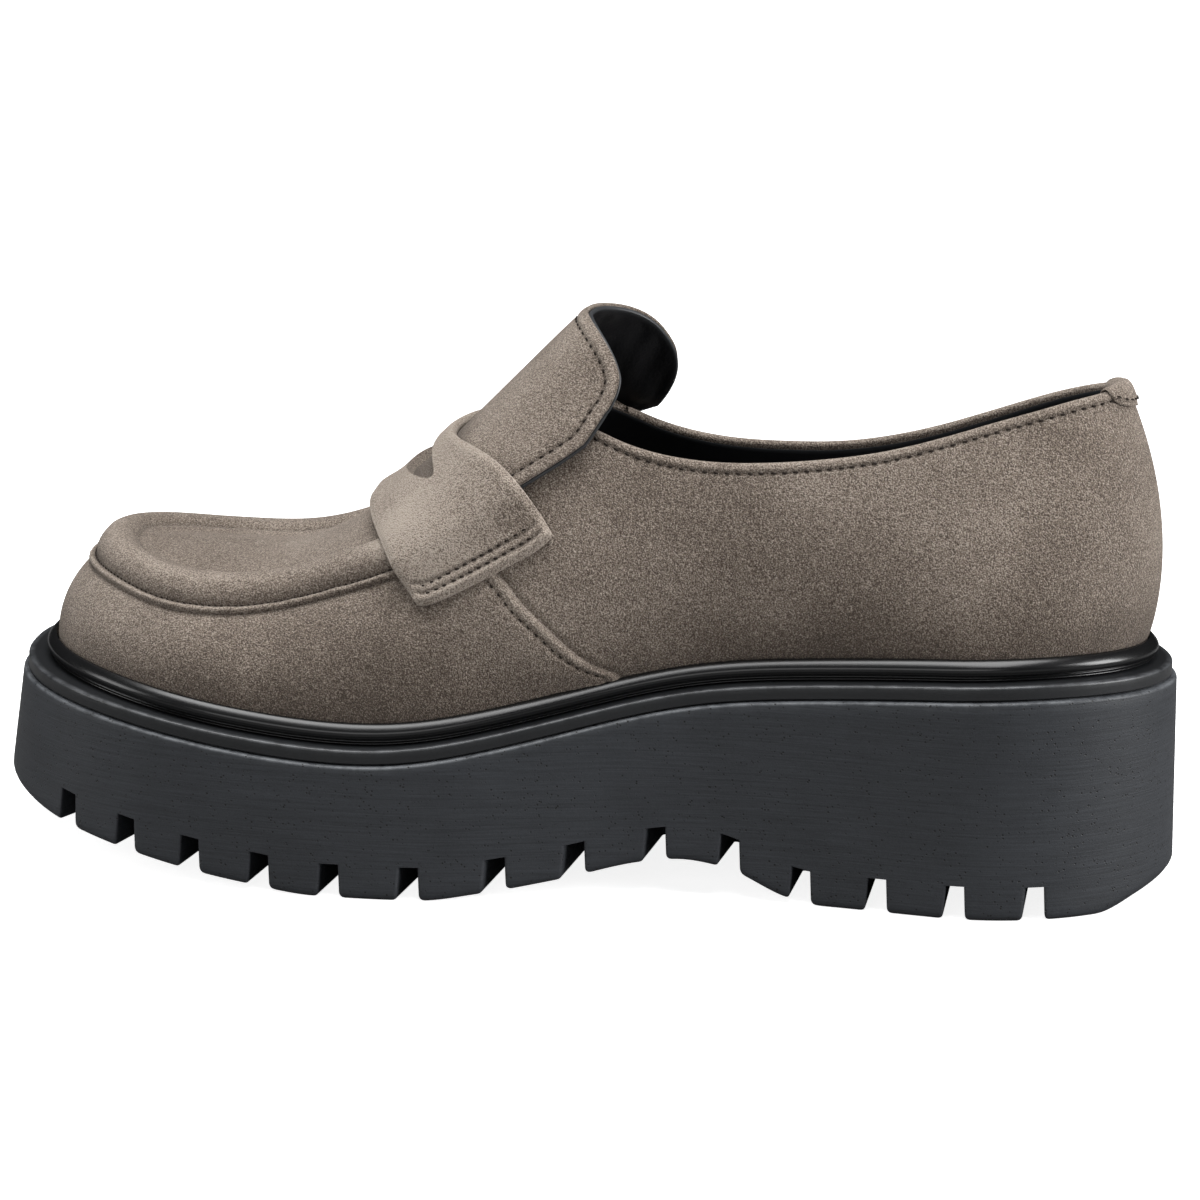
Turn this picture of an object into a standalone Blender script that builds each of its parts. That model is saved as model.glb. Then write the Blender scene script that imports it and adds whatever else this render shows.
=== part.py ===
"""Chunky lug sole loafer, right shoe, in metres: toe at -X, heel at +X, medial side at -Y."""
import math

import bmesh
import bpy
import numpy as np
from mathutils import Vector

# Outsole outline: the ends of its top edge and how square they are
TOE_X = -0.1374
HEEL_X = 0.1372
TOE_CAP, TOE_POWER = 0.0605, 2.3
HEEL_CAP, HEEL_POWER = 0.052, 1.9
TOE_TURN = 0.0037          # the toe tip lies this far to the lateral side
TOE_TURN_REACH = 0.080

# Thicknesses and clearances
GAP = 0.0003
SKIN_GAP = 0.0006          # between the upper's facets and what lies on them
RUNNER_TALL = 0.0036
WELT_TALL = 0.0049
UPPER_WALL = 0.0020
TONGUE_THICK = 0.0022
STRAP_THICK = 0.0020
TAB_THICK = 0.0011
INSOLE_THICK = 0.0032
RUNNER_INSET = 0.0012
FEATHER_INSET = 0.0072     # upper's foot, inside the outsole's edge
FEATHER_INSET_TOE = 0.0011
FLARE_TOE = 0.0026         # the outsole spreads by this much towards the floor
FLARE = 0.0012
FLARE_FADE = (-0.125, -0.085)
LUG_BEVEL = 0.0014
SIDE_FOOT = 0.0022         # the outsole's side ends this far above the tread
EDGE_CHAMFER = 0.0005
TOP_CHAMFER = 0.0006

# Sampling
RING_STEPS = 98
SOLE_STEPS = 104
STATION_EPS = 0.004

# x, medial half width, lateral half width of the outsole's top edge
PLAN = [
    (-0.139, 0.0470, 0.0450),
    (-0.089, 0.0505, 0.0470),
    (-0.059, 0.0525, 0.0510),
    (-0.027, 0.0500, 0.0540),
    (0.014, 0.0372, 0.0495),
    (0.056, 0.0345, 0.0430),
    (0.097, 0.0385, 0.0395),
    (0.139, 0.0390, 0.0390),
]
# x, height of the outsole's top edge
STEP = [
    (-0.139, 0.0392),
    (-0.115, 0.0371),
    (-0.089, 0.0341),
    (-0.059, 0.0314),
    (-0.039, 0.0317),
    (-0.019, 0.0349),
    (0.003, 0.0399),
    (0.026, 0.0450),
    (0.056, 0.0484),
    (0.091, 0.0511),
    (0.116, 0.0518),
    (0.139, 0.0508),
]
# x, height of the tread: toe spring, ball, arch, heel, heel bevel
TREAD = [
    (-0.140, 0.0138),
    (-0.121, 0.0095),
    (-0.105, 0.0066),
    (-0.089, 0.0039),
    (-0.073, 0.0017),
    (-0.056, 0.0000),
    (-0.032, 0.0000),
    (-0.019, 0.0015),
    (0.000, 0.0046),
    (0.018, 0.0084),
    (0.026, 0.0091),
    (0.036, 0.0077),
    (0.052, 0.0012),
    (0.060, 0.0000),
    (0.122, 0.0000),
    (0.131, 0.0030),
    (0.140, 0.0065),
]
# x, height of the instep line, carried on up the ankle above the throat
SPINE = [
    (-0.104, 0.0717),
    (-0.086, 0.0717),
    (-0.072, 0.0725),
    (-0.061, 0.0757),
    (-0.052, 0.0805),
    (-0.040, 0.0890),
    (-0.029, 0.1000),
    (-0.017, 0.1128),
    (-0.002, 0.1285),
    (0.012, 0.1408),
    (0.030, 0.1495),
    (0.055, 0.1520),
    (0.086, 0.1500),
]
SPINE_TOE = -0.1045        # ribs of the toe meet here
SPINE_HEEL = 0.086         # ribs of the heel aim at this station
SPINE_SOFT = 0.008
SPINE_WELD = 0.0016        # ribs ending this near the toe's spine point share it
# x, medial fullness, lateral fullness, medial bulge, lateral bulge of the side wall
SIDE = [
    (-0.131, 2.00, 2.00, 0.0000, 0.0000),
    (-0.090, 2.10, 2.10, 0.0010, 0.0010),
    (-0.052, 2.20, 2.00, 0.0015, 0.0010),
    (-0.029, 2.20, 1.90, 0.0020, 0.0010),
    (-0.002, 2.30, 1.70, 0.0035, 0.0010),
    (0.025, 2.15, 1.40, 0.0040, 0.0015),
    (0.050, 1.80, 1.20, 0.0040, 0.0020),
    (0.086, 1.30, 1.15, 0.0030, 0.0030),
    (0.110, 1.50, 1.50, 0.0030, 0.0030),
    (0.1306, 2.40, 2.40, 0.0030, 0.0030),
]
BULGE_TALL = 0.062
BULGE_POWER = 0.75
SPINE_LEAN = 0.003         # the instep line leans to the medial side
SPINE_LEAN_X, SPINE_LEAN_REACH = -0.02, 0.06
SPINE_TOE_LEAN = 0.003     # and to the lateral side at the toe
SPINE_TOE_LEAN_X, SPINE_TOE_LEAN_REACH = -0.06, 0.045
# x, medial rim height, lateral rim height, from the throat to the back
RIM = [
    (-0.030, 0.1085, 0.1085),
    (-0.012, 0.1088, 0.1060),
    (0.000, 0.1080, 0.1020),
    (0.009, 0.1047, 0.0980),
    (0.018, 0.1022, 0.0955),
    (0.031, 0.1008, 0.0943),
    (0.042, 0.1011, 0.0947),
    (0.054, 0.1023, 0.0958),
    (0.066, 0.1042, 0.0982),
    (0.078, 0.1072, 0.1018),
    (0.093, 0.1120, 0.1075),
    (0.103, 0.1150, 0.1115),
    (0.113, 0.1176, 0.1152),
    (0.1236, 0.1190, 0.1190),
]
THROAT_X = -0.0245
# x, rib share at which the apron seam lies
SEAM = [
    (-0.131, 0.500),
    (-0.112, 0.455),
    (-0.098, 0.415),
    (-0.080, 0.432),
    (-0.060, 0.475),
    (-0.041, 0.455),
    (-0.017, 0.465),
]
SEAM_FADE = (-0.041, -0.031)   # the relief dies out under the strap
# distance inside the seam's foot, height of the relief
APRON_RELIEF = [
    (0.0000, 0.0000),
    (0.0005, 0.0013),
    (0.0020, 0.0013),
    (0.0027, 0.0003),
    (0.0050, 0.0016),
    (0.0085, 0.0024),
    (0.0120, 0.0014),
    (0.0145, 0.0001),
]
ROWS_BELOW_SEAM = 3
ROWS_TO_SPINE = 3
INNER_ROWS = 9

# x at the outsole's edge, turn towards the heel in degrees, length, of each side groove
GROOVES = [
    (-0.1176, 17, 0.022),
    (-0.1020, 12, 0.026),
    (-0.0859, 8, 0.028),
    (-0.0691, 7, 0.029),
    (-0.0526, 7, 0.029),
    (-0.0343, 7, 0.029),
    (-0.0150, 7, 0.027),
    (0.0025, 7, 0.022),
    (0.0207, 6, 0.020),
    (0.0378, 5, 0.020),
    (0.0545, 3, 0.022),
    (0.0722, 1, 0.026),
    (0.0902, 0, 0.027),
    (0.1082, 0, 0.027),
]
GROOVE_TOP = 0.0040
GROOVE_FOOT = 0.0056
GROOVE_TALL = 0.0082
GROOVE_PAST_EDGE = 0.012   # its cutter starts this far outside the edge
GROOVE_UNDER = 0.004       # and this far under the tread
CENTRE_BAR_FROM = -0.001   # short grooves across the middle, between the side grooves
CENTRE_BAR_LENGTH = 0.014
CENTRE_BAR_TOP = 0.0026
CENTRE_BAR_FOOT = 0.0036
CENTRE_BAR_TALL = 0.0050
CENTRE_BAR_UNDER = 0.010
CENTRE_BAR_DRIFT = 0.0005  # they follow the side grooves' lean by this much a degree

# x, half arc of the tongue as a rib share left on each side of the instep line
TONGUE = [
    (-0.037, 0.530),
    (-0.025, 0.535),
    (-0.011, 0.550),
    (-0.003, 0.560),
    (0.0040, 0.556),
]
TONGUE_ROOT_CURVE = 0.013  # its hidden root is hollow towards the toe
TONGUE_TIP = -0.0016       # end of the tongue on the instep line
TONGUE_CORNER = 0.0092     # furthest back of its corners
TONGUE_CORNER_POWER = 1.6  # nearly straight across the middle, then round the corners
TONGUE_CORNER_DROP = 0.42
TONGUE_CORNER_SHARP = 7
TONGUE_CORNER_REACH = 1.35
TONGUE_ROW_POWER = 0.9
TONGUE_ROWS = 12
TONGUE_COLS = 20

# rib share from the medial end over the instep, x of the front edge, x of the rear edge
STRAP = [
    (-0.710, -0.0350, -0.0050),
    (-0.600, -0.0393, -0.0100),
    (-0.450, -0.0445, -0.0176),
    (-0.250, -0.0500, -0.0262),
    (0.000, -0.0530, -0.0310),
    (0.250, -0.0500, -0.0262),
    (0.450, -0.0445, -0.0176),
    (0.600, -0.0393, -0.0100),
    (0.710, -0.0350, -0.0050),
]
STRAP_DROP = (0.53, 0.66)      # rib share over which the strap steps down off the tongue
STRAP_DROP_X = (-0.046, -0.039)
STRAP_COLS = 28
STRAP_ROWS = 5
SLOT_X = -0.0405
SLOT_HALF = 0.0130
SLOT_WIDE = 0.0076
SLOT_TAPER = 0.30
SLOT_STEPS = 20
SLOT_CUT = (-0.010, 0.012)

# distance out from the upper, height above the runner: the welt's section
WELT = [
    (0.0003, 0.0003),
    (0.0021, 0.0003),
    (0.0022, 0.0010),
    (0.0014, 0.0016),
    (0.0022, 0.0021),
    (0.0025, 0.0031),
    (0.0022, 0.0040),
    (0.0014, 0.0046),
    (0.0009, 0.0051),
    (0.0003, 0.0052),
]

TAB_TURN = 0.30            # half width round the back, as a turn
TAB_DEEP_OUT = 0.0056
TAB_DEEP_IN = 0.0070
TAB_END_SHARE = 0.14       # its depth at both ends
TAB_FOLD = 0.7             # its thickness over the rim, as a share
TAB_COLS = 10

SUEDE = (0.185, 0.150, 0.122, 1.0)
RUBBER = (0.027, 0.030, 0.033, 1.0)
GLOSS_RUBBER = (0.008, 0.008, 0.009, 1.0)
LINING = (0.012, 0.012, 0.014, 1.0)


def spline(xs, ys):
    """Natural cubic curve through a short table, held constant past its ends."""
    xs, ys = np.asarray(xs, float), np.asarray(ys, float)
    count = len(xs)
    span = np.diff(xs)
    system, right = np.zeros((count, count)), np.zeros(count)
    system[0, 0] = system[-1, -1] = 1.0
    for i in range(1, count - 1):
        system[i, i - 1:i + 2] = span[i - 1], 2 * (span[i - 1] + span[i]), span[i]
        right[i] = 6 * ((ys[i + 1] - ys[i]) / span[i] - (ys[i] - ys[i - 1]) / span[i - 1])
    bend = np.linalg.solve(system, right)

    def at(x):
        x = np.clip(x, xs[0], xs[-1])
        i = np.clip(np.searchsorted(xs, x, side="right") - 1, 0, count - 2)
        left, past, wide = xs[i + 1] - x, x - xs[i], span[i]
        curved = (bend[i] * left ** 3 + bend[i + 1] * past ** 3) / (6 * wide)
        return (curved + (ys[i] / wide - bend[i] * wide / 6) * left
                + (ys[i + 1] / wide - bend[i + 1] * wide / 6) * past)
    return at


def column(table, index):
    return spline([row[0] for row in table], [row[index] for row in table])


def follow(table):
    """Curve through a table that stays flat wherever two rows agree."""
    xs = np.array([row[0] for row in table])
    ys = np.array([row[1] for row in table])
    rise = np.diff(ys) / np.diff(xs)
    slope = np.zeros(len(xs))
    same = rise[1:] * rise[:-1] > 0
    slope[1:-1][same] = 2 * rise[1:][same] * rise[:-1][same] / (rise[1:] + rise[:-1])[same]
    slope[0], slope[-1] = rise[0], rise[-1]

    def at(x):
        x = np.clip(x, xs[0], xs[-1])
        i = np.clip(np.searchsorted(xs, x, side="right") - 1, 0, len(xs) - 2)
        wide = xs[i + 1] - xs[i]
        s = (x - xs[i]) / wide
        return ((2 * s ** 3 - 3 * s ** 2 + 1) * ys[i] + (s ** 3 - 2 * s ** 2 + s) * wide * slope[i]
                + (3 * s ** 2 - 2 * s ** 3) * ys[i + 1] + (s ** 3 - s ** 2) * wide * slope[i + 1])
    return at


def ease(value, low, high):
    s = np.clip((value - low) / (high - low), 0.0, 1.0)
    return s * s * (3 - 2 * s)


plan_medial, plan_lateral = column(PLAN, 1), column(PLAN, 2)
step_height = column(STEP, 1)
tread_height = follow(TREAD)
spine_height = column(SPINE, 1)
full_medial, full_lateral = column(SIDE, 1), column(SIDE, 2)
bulge_medial, bulge_lateral = column(SIDE, 3), column(SIDE, 4)
rim_medial, rim_lateral = column(RIM, 1), column(RIM, 2)
seam_share = column(SEAM, 1)
tongue_half = column(TONGUE, 1)
strap_front, strap_rear = column(STRAP, 1), column(STRAP, 2)


def cap(room, reach, power):
    share = np.clip(1 - room / reach, 0, 1)
    return np.maximum(0, 1 - share ** power) ** (1 / power)


def edge(turn):
    """Outsole's top edge: turn 0 at the toe, pi at the heel, medial side between them."""
    x = (TOE_X + HEEL_X) / 2 - (HEEL_X - TOE_X) / 2 * np.cos(turn)
    side = np.where(np.sin(turn) >= 0, -plan_medial(x), plan_lateral(x))
    ends = cap(x - TOE_X, TOE_CAP, TOE_POWER) * cap(HEEL_X - x, HEEL_CAP, HEEL_POWER)
    shift = TOE_TURN * np.clip(1 - (x - TOE_X) / TOE_TURN_REACH, 0, 1) ** 2
    return np.stack([x, side * ends + shift], -1)


def inward(turn):
    ahead = edge(turn + STATION_EPS) - edge(turn - STATION_EPS)
    normal = np.stack([-ahead[..., 1], ahead[..., 0]], -1)
    return normal / np.linalg.norm(normal, axis=-1, keepdims=True)


def outline(turn, inset):
    turn = np.asarray(turn, float)
    inset = np.broadcast_to(np.asarray(inset, float), turn.shape)
    return edge(turn) + inward(turn) * inset[..., None]


def feather_inset(turn):
    x = edge(turn)[..., 0]
    return FEATHER_INSET + FEATHER_INSET_TOE * ease(-x, 0.080, 0.130)


def ring(turn, inset, lift):
    flat = outline(turn, inset)
    return np.column_stack([flat, step_height(flat[:, 0]) + lift])


def soft_clamp(x, low, high):
    x = (x + low + np.sqrt((x - low) ** 2 + 4 * SPINE_SOFT ** 2)) / 2
    return (x + high - np.sqrt((x - high) ** 2 + 4 * SPINE_SOFT ** 2)) / 2


def spine_side(x):
    toe = np.clip((SPINE_TOE_LEAN_X - x) / SPINE_TOE_LEAN_REACH, 0, 1)
    return SPINE_TOE_LEAN * toe - SPINE_LEAN * np.exp(-((x - SPINE_LEAN_X) / SPINE_LEAN_REACH) ** 2)


def rib(turn, share):
    """Point of the upper's outer form: share 0 at the feather line, 1 on the instep line."""
    turn, share = np.broadcast_arrays(np.asarray(turn, float), np.asarray(share, float))
    foot = outline(turn, feather_inset(turn))
    low = step_height(foot[..., 0]) + RUNNER_TALL + WELT_TALL
    top_x = soft_clamp(foot[..., 0], SPINE_TOE, SPINE_HEEL)
    top = np.stack([top_x, spine_side(top_x)], -1)
    medial = np.sin(turn) >= 0
    full = np.where(medial, full_medial(foot[..., 0]), full_lateral(foot[..., 0]))
    full = full + (2 - full) * share ** 3
    angle = share * math.pi / 2
    run = 1 - np.clip(np.cos(angle), 0, 1) ** (2 / full)
    rise = np.clip(np.sin(angle), 0, 1) ** (2 / full)
    z = low + (spine_height(top_x) - low) * rise
    bulge = np.where(medial, bulge_medial(foot[..., 0]), bulge_lateral(foot[..., 0]))
    bulge = bulge * np.sin(np.pi * np.clip((z - low) / BULGE_TALL, 0, 1) ** BULGE_POWER)
    flat = foot + (top - foot) * run[..., None] - inward(turn) * bulge[..., None]
    return np.concatenate([flat, z[..., None]], -1)


def outward(turn, share):
    """Outward normal of the upper's form, taken just short of the instep line's edge."""
    step_t, step_s = 0.003, 0.004
    share = np.minimum(share, 1 - 1.2 * step_s)
    low = np.maximum(share - step_s, 0.0)
    high = share + step_s
    along = rib(turn + step_t, share) - rib(turn - step_t, share)
    up = rib(turn, high) - rib(turn, low)
    normal = np.cross(along, up)
    return normal / np.linalg.norm(normal, axis=-1, keepdims=True)


_turns = np.linspace(0.05, math.pi - 0.05, 600)
_medial_x = outline(_turns, feather_inset(_turns))[:, 0]
_lateral_x = outline(2 * math.pi - _turns, feather_inset(2 * math.pi - _turns))[:, 0]


def over(x, across, lift):
    """Point over the instep: across -1 medial feather, 0 instep line, +1 lateral feather."""
    x, across = np.broadcast_arrays(np.asarray(x, float), np.asarray(across, float))
    medial = np.interp(x, _medial_x, _turns)
    lateral = 2 * math.pi - np.interp(x, _lateral_x, _turns)
    turn = np.where(across <= 0, medial, lateral)
    share = 1 - np.abs(across)
    blend = np.clip(1 - np.abs(across) / 0.06, 0, 1)[..., None] / 2
    here = outward(turn, share)
    there = outward(np.where(across <= 0, lateral, medial), share)
    normal = here * (1 - blend) + there * blend
    normal /= np.linalg.norm(normal, axis=-1, keepdims=True)
    return rib(turn, share) + normal * np.asarray(lift, float)[..., None]


def material(name, colour, roughness, metallic=0.0):
    made = bpy.data.materials.new(name)
    made.use_nodes = True
    shader = made.node_tree.nodes["Principled BSDF"]
    shader.inputs["Base Color"].default_value = colour
    shader.inputs["Roughness"].default_value = roughness
    shader.inputs["Metallic"].default_value = metallic
    return made


def add_object(name, points, faces, finish, sharp=40.0):
    mesh = bpy.data.meshes.new(name)
    mesh.from_pydata([tuple(p) for p in points], [], faces)
    bm = bmesh.new()
    bm.from_mesh(mesh)
    bmesh.ops.recalc_face_normals(bm, faces=bm.faces)
    bm.to_mesh(mesh)
    bm.free()
    mesh.validate()
    mesh.shade_smooth()
    mesh.set_sharp_from_angle(angle=math.radians(sharp))
    mesh.materials.append(finish)
    made = bpy.data.objects.new(name, mesh)
    bpy.context.collection.objects.link(made)
    return made


def ladder(first, count):
    """Faces across a closed ring whose points i and count - i face each other."""
    faces = [(first, first + 1, first + count - 1)]
    half = count // 2
    for i in range(1, half - 1):
        faces.append((first + i, first + i + 1, first + count - i - 1, first + count - i))
    faces.append((first + half - 1, first + half, first + half + 1))
    return faces


def stack_rings(name, rings, finish, sharp=40.0):
    """Solid through closed rings, from its top face down to its bottom face."""
    count = len(rings[0])
    faces = ladder(0, count)
    for level in range(len(rings) - 1):
        base = level * count
        for i in range(count):
            j = (i + 1) % count
            faces.append((base + i, base + j, base + count + j, base + count + i))
    faces += ladder((len(rings) - 1) * count, count)
    return add_object(name, np.concatenate(rings), faces, finish, sharp)


def slab(name, top, bottom, finish, sharp=40.0):
    """Closed sheet between two grids of the same size."""
    rows, cols = top.shape[:2]
    points = np.concatenate([top.reshape(-1, 3), bottom.reshape(-1, 3)])
    under = rows * cols
    faces = []
    for r in range(rows - 1):
        for c in range(cols - 1):
            a, b, d, e = r * cols + c, r * cols + c + 1, (r + 1) * cols + c + 1, (r + 1) * cols + c
            faces.append((a, b, d, e))
            faces.append((under + e, under + d, under + b, under + a))
    rim = [r * cols for r in range(rows)]
    rim += [(rows - 1) * cols + c for c in range(1, cols)]
    rim += [r * cols + cols - 1 for r in range(rows - 2, -1, -1)]
    rim += list(range(cols - 2, 0, -1))
    for i, a in enumerate(rim):
        b = rim[(i + 1) % len(rim)]
        faces.append((a, b, under + b, under + a))
    return add_object(name, points, faces, finish, sharp)


def sole_turns():
    return np.linspace(0, 2 * math.pi, SOLE_STEPS, endpoint=False)


def flare(turn):
    return FLARE_TOE + (FLARE - FLARE_TOE) * ease(edge(turn)[:, 0], *FLARE_FADE)


def make_outsole():
    turn = sole_turns()

    def tread_ring(inset, lift):
        flat = outline(turn, inset)
        return np.column_stack([flat, tread_height(flat[:, 0]) + lift])

    rings = [
        ring(turn, TOP_CHAMFER, 0.0),
        ring(turn, 0.0, -TOP_CHAMFER),
        tread_ring(-flare(turn), SIDE_FOOT),
        tread_ring(LUG_BEVEL - flare(turn), 0.0),
    ]
    sole = stack_rings("outsole", rings, material("sole_rubber", RUBBER, 0.62))
    cutter = make_groove_cutter()
    cut = sole.modifiers.new("grooves", "BOOLEAN")
    cut.operation = "DIFFERENCE"
    cut.solver = "EXACT"
    cut.object = cutter
    return sole


def wedge(start, direction, length, foot, top, low, high):
    """Groove cutter: wide at its foot, narrower at its top, standing on the tread."""
    across = Vector((-direction.y, direction.x, 0.0))
    points = []
    for along in (-GROOVE_PAST_EDGE, length):
        for half, z in ((foot / 2, low), (top / 2, high)):
            for side in (-1, 1):
                place = start + direction * along + across * half * side
                points.append((place.x, place.y, z))
    faces = [(0, 1, 3, 2), (4, 6, 7, 5), (0, 4, 5, 1), (2, 3, 7, 6), (0, 2, 6, 4), (1, 5, 7, 3)]
    return points, faces


def make_groove_cutter():
    points, faces = [], []

    def add(block):
        base = len(points)
        points.extend(block[0])
        faces.extend(tuple(base + i for i in face) for face in block[1])

    for x, degrees, length in GROOVES:
        top = float(tread_height(x)) + GROOVE_TALL
        low = top - GROOVE_TALL - GROOVE_UNDER
        for side, half in ((-1, plan_medial), (1, plan_lateral)):
            ends = cap(x - TOE_X, TOE_CAP, TOE_POWER) * cap(HEEL_X - x, HEEL_CAP, HEEL_POWER)
            start = Vector((x, side * float(half(x) * ends), 0.0))
            lean = math.radians(degrees)
            direction = Vector((math.sin(lean), -side * math.cos(lean), 0.0))
            add(wedge(start, direction, length, GROOVE_FOOT, GROOVE_TOP, low, top))
    for (x, turn_a, _), (x_next, turn_b, _) in zip(GROOVES, GROOVES[1:]):
        middle = (x + x_next) / 2 + (turn_a + turn_b) / 2 * CENTRE_BAR_DRIFT
        high = float(tread_height(middle)) + CENTRE_BAR_TALL
        start = Vector((middle, CENTRE_BAR_FROM, 0.0))
        add(wedge(start, Vector((0.0, 1.0, 0.0)), CENTRE_BAR_LENGTH,
                  CENTRE_BAR_FOOT, CENTRE_BAR_TOP, high - CENTRE_BAR_UNDER, high))
    cutter = add_object("groove_cutter", points, faces, material("cutter_guide", RUBBER, 0.5))
    cutter.hide_render = True
    cutter.display_type = "WIRE"
    return cutter


def make_runner():
    turn = sole_turns()
    rings = [
        ring(turn, RUNNER_INSET + EDGE_CHAMFER, RUNNER_TALL),
        ring(turn, RUNNER_INSET, RUNNER_TALL - EDGE_CHAMFER),
        ring(turn, RUNNER_INSET, GAP),
    ]
    return stack_rings("runner", rings, material("runner_rubber", RUBBER, 0.5))


def make_insole():
    turn = sole_turns()
    inset = feather_inset(turn) + UPPER_WALL + 2 * GAP
    rings = [
        ring(turn, inset, RUNNER_TALL + GAP + INSOLE_THICK),
        ring(turn, inset, RUNNER_TALL + GAP),
    ]
    return stack_rings("insole", rings, material("insole_lining", LINING, 0.45))


def make_welt():
    turn = sole_turns()
    rings = [ring(turn, feather_inset(turn) - out, RUNNER_TALL + high) for out, high in WELT]
    count, levels = SOLE_STEPS, len(rings)
    faces = []
    for level in range(levels):
        base, after = level * count, ((level + 1) % levels) * count
        for i in range(count):
            j = (i + 1) % count
            faces.append((base + i, base + j, after + j, after + i))
    return add_object("welt", np.concatenate(rings), faces, material("welt_rubber", GLOSS_RUBBER, 0.22))


def rim_share(turn):
    """Rib share at which each open rib meets the collar or throat edge."""
    shares = np.linspace(0, 1, 401)
    grid = rib(turn[:, None], shares[None, :])
    medial = np.sin(turn) >= 0
    limit = np.where(medial[:, None], rim_medial(grid[..., 0]), rim_lateral(grid[..., 0]))
    above = grid[..., 2] > limit
    first = np.where(above.any(axis=1), above.argmax(axis=1), len(shares) - 1)
    before = np.maximum(first - 1, 0)
    pick = np.arange(len(turn))
    miss = (grid[..., 2] - limit)
    low, high = miss[pick, before], miss[pick, first]
    part = np.where(high > low, -low / np.maximum(high - low, 1e-9), 1.0)
    return shares[before] + np.clip(part, 0, 1) * (shares[first] - shares[before])


def make_upper():
    """One hollow wall: vamp, apron with its raised seam and padded roll, and quarters."""
    turn = np.linspace(0, 2 * math.pi, RING_STEPS, endpoint=False)
    station = outline(turn, feather_inset(turn))[:, 0]
    closed = station <= THROAT_X
    end = np.where(closed, 1.0, rim_share(turn))

    fine = rib(turn[:, None], np.linspace(0, 1, 60)[None, :])
    length = np.linalg.norm(np.diff(fine, axis=1), axis=-1).sum(axis=1)
    seam = seam_share(station)
    rows = [seam * i / ROWS_BELOW_SEAM for i in range(ROWS_BELOW_SEAM)]
    rows += [seam + run / length for run, _ in APRON_RELIEF]
    last = rows[-1]
    rows += [last + (1 - last) * i / ROWS_TO_SPINE for i in range(1, ROWS_TO_SPINE + 1)]
    front = np.stack(rows, 1)
    height = np.array([0.0] * ROWS_BELOW_SEAM + [h for _, h in APRON_RELIEF] + [0.0] * ROWS_TO_SPINE)
    even = np.linspace(0, 1, front.shape[1])[None, :] * end[:, None]
    rear = ease(station, *SEAM_FADE)[:, None]
    shares = front * (1 - rear) + even * rear
    relief = height[None, :] * (1 - rear)

    outer = rib(turn[:, None], shares) + outward(turn[:, None], shares) * relief[..., None]
    inner_shares = np.linspace(0, 1, INNER_ROWS)[None, :] * end[:, None]
    inner = rib(turn[:, None], inner_shares)
    inner = inner - outward(turn[:, None], inner_shares) * UPPER_WALL
    foot_out = ring(turn, feather_inset(turn), RUNNER_TALL + GAP)
    foot_in = ring(turn, feather_inset(turn) + UPPER_WALL, RUNNER_TALL + GAP)
    inner[:, 0] = ring(turn, feather_inset(turn) + UPPER_WALL, RUNNER_TALL + WELT_TALL)

    points = []

    def add(point):
        points.append(tuple(point))
        return len(points) - 1

    def lay(grid, foot):
        count, levels = grid.shape[:2]
        index = np.zeros((count, levels + 1), int)
        for i in range(count):
            index[i, 0] = add(foot[i])
            for level in range(levels - 1):
                index[i, level + 1] = add(grid[i, level])
        for i in range(count // 2 + 1):
            other = (count - i) % count
            if closed[i]:
                middle = (grid[i, -1] + grid[other, -1]) / 2
                shared = i > 0 and middle[0] - grid[0, -1, 0] < SPINE_WELD
                index[i, -1] = index[other, -1] = index[0, -1] if shared else add(middle)
            else:
                index[i, -1] = add(grid[i, -1])
                if other != i:
                    index[other, -1] = add(grid[other, -1])
        return index

    outside, inside = lay(outer, foot_out), lay(inner, foot_in)
    faces = []
    count = len(turn)
    for i in range(count):
        j = (i + 1) % count
        for level in range(outside.shape[1] - 1):
            faces.append((outside[i, level], outside[j, level], outside[j, level + 1], outside[i, level + 1]))
        for level in range(inside.shape[1] - 1):
            faces.append((inside[i, level + 1], inside[j, level + 1], inside[j, level], inside[i, level]))
        faces.append((outside[j, 0], outside[i, 0], inside[i, 0], inside[j, 0]))
        if not (closed[i] and closed[j]):
            faces.append((outside[i, -1], outside[j, -1], inside[j, -1], inside[i, -1]))

    mesh = bpy.data.meshes.new("upper")
    bm = bmesh.new()
    made = [bm.verts.new(p) for p in points]
    for face in faces:
        corners = []
        for k in face:
            if made[k] not in corners:
                corners.append(made[k])
        if len(corners) > 2:
            bm.faces.new(corners)
    bmesh.ops.recalc_face_normals(bm, faces=bm.faces)
    bm.to_mesh(mesh)
    bm.free()
    mesh.shade_smooth()
    mesh.set_sharp_from_angle(angle=math.radians(50))
    mesh.materials.append(material("upper_suede", SUEDE, 0.95))
    shell = bpy.data.objects.new("upper", mesh)
    bpy.context.collection.objects.link(shell)
    return shell


def make_tongue():
    """The apron's free end: it lies on the instep and stands up out of the strap."""
    across = np.linspace(-1, 1, TONGUE_COLS + 1)
    root = TONGUE[0][0] + TONGUE_ROOT_CURVE * across ** 2
    along = np.linspace(0, 1, TONGUE_ROWS + 1)
    out = np.abs(across)
    corner = out ** TONGUE_CORNER_POWER * (1 - TONGUE_CORNER_DROP * out ** TONGUE_CORNER_SHARP)
    end = TONGUE_TIP + (TONGUE_CORNER - TONGUE_TIP) * TONGUE_CORNER_REACH * corner
    x = root[None, :] + (end - root)[None, :] * along[:, None] ** TONGUE_ROW_POWER
    share = across[None, :] * tongue_half(x)
    low = over(x, share, np.full(x.shape, SKIN_GAP))
    high = over(x, share, np.full(x.shape, SKIN_GAP + TONGUE_THICK))
    return slab("tongue", high, low, material("tongue_suede", SUEDE, 0.95))


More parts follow.
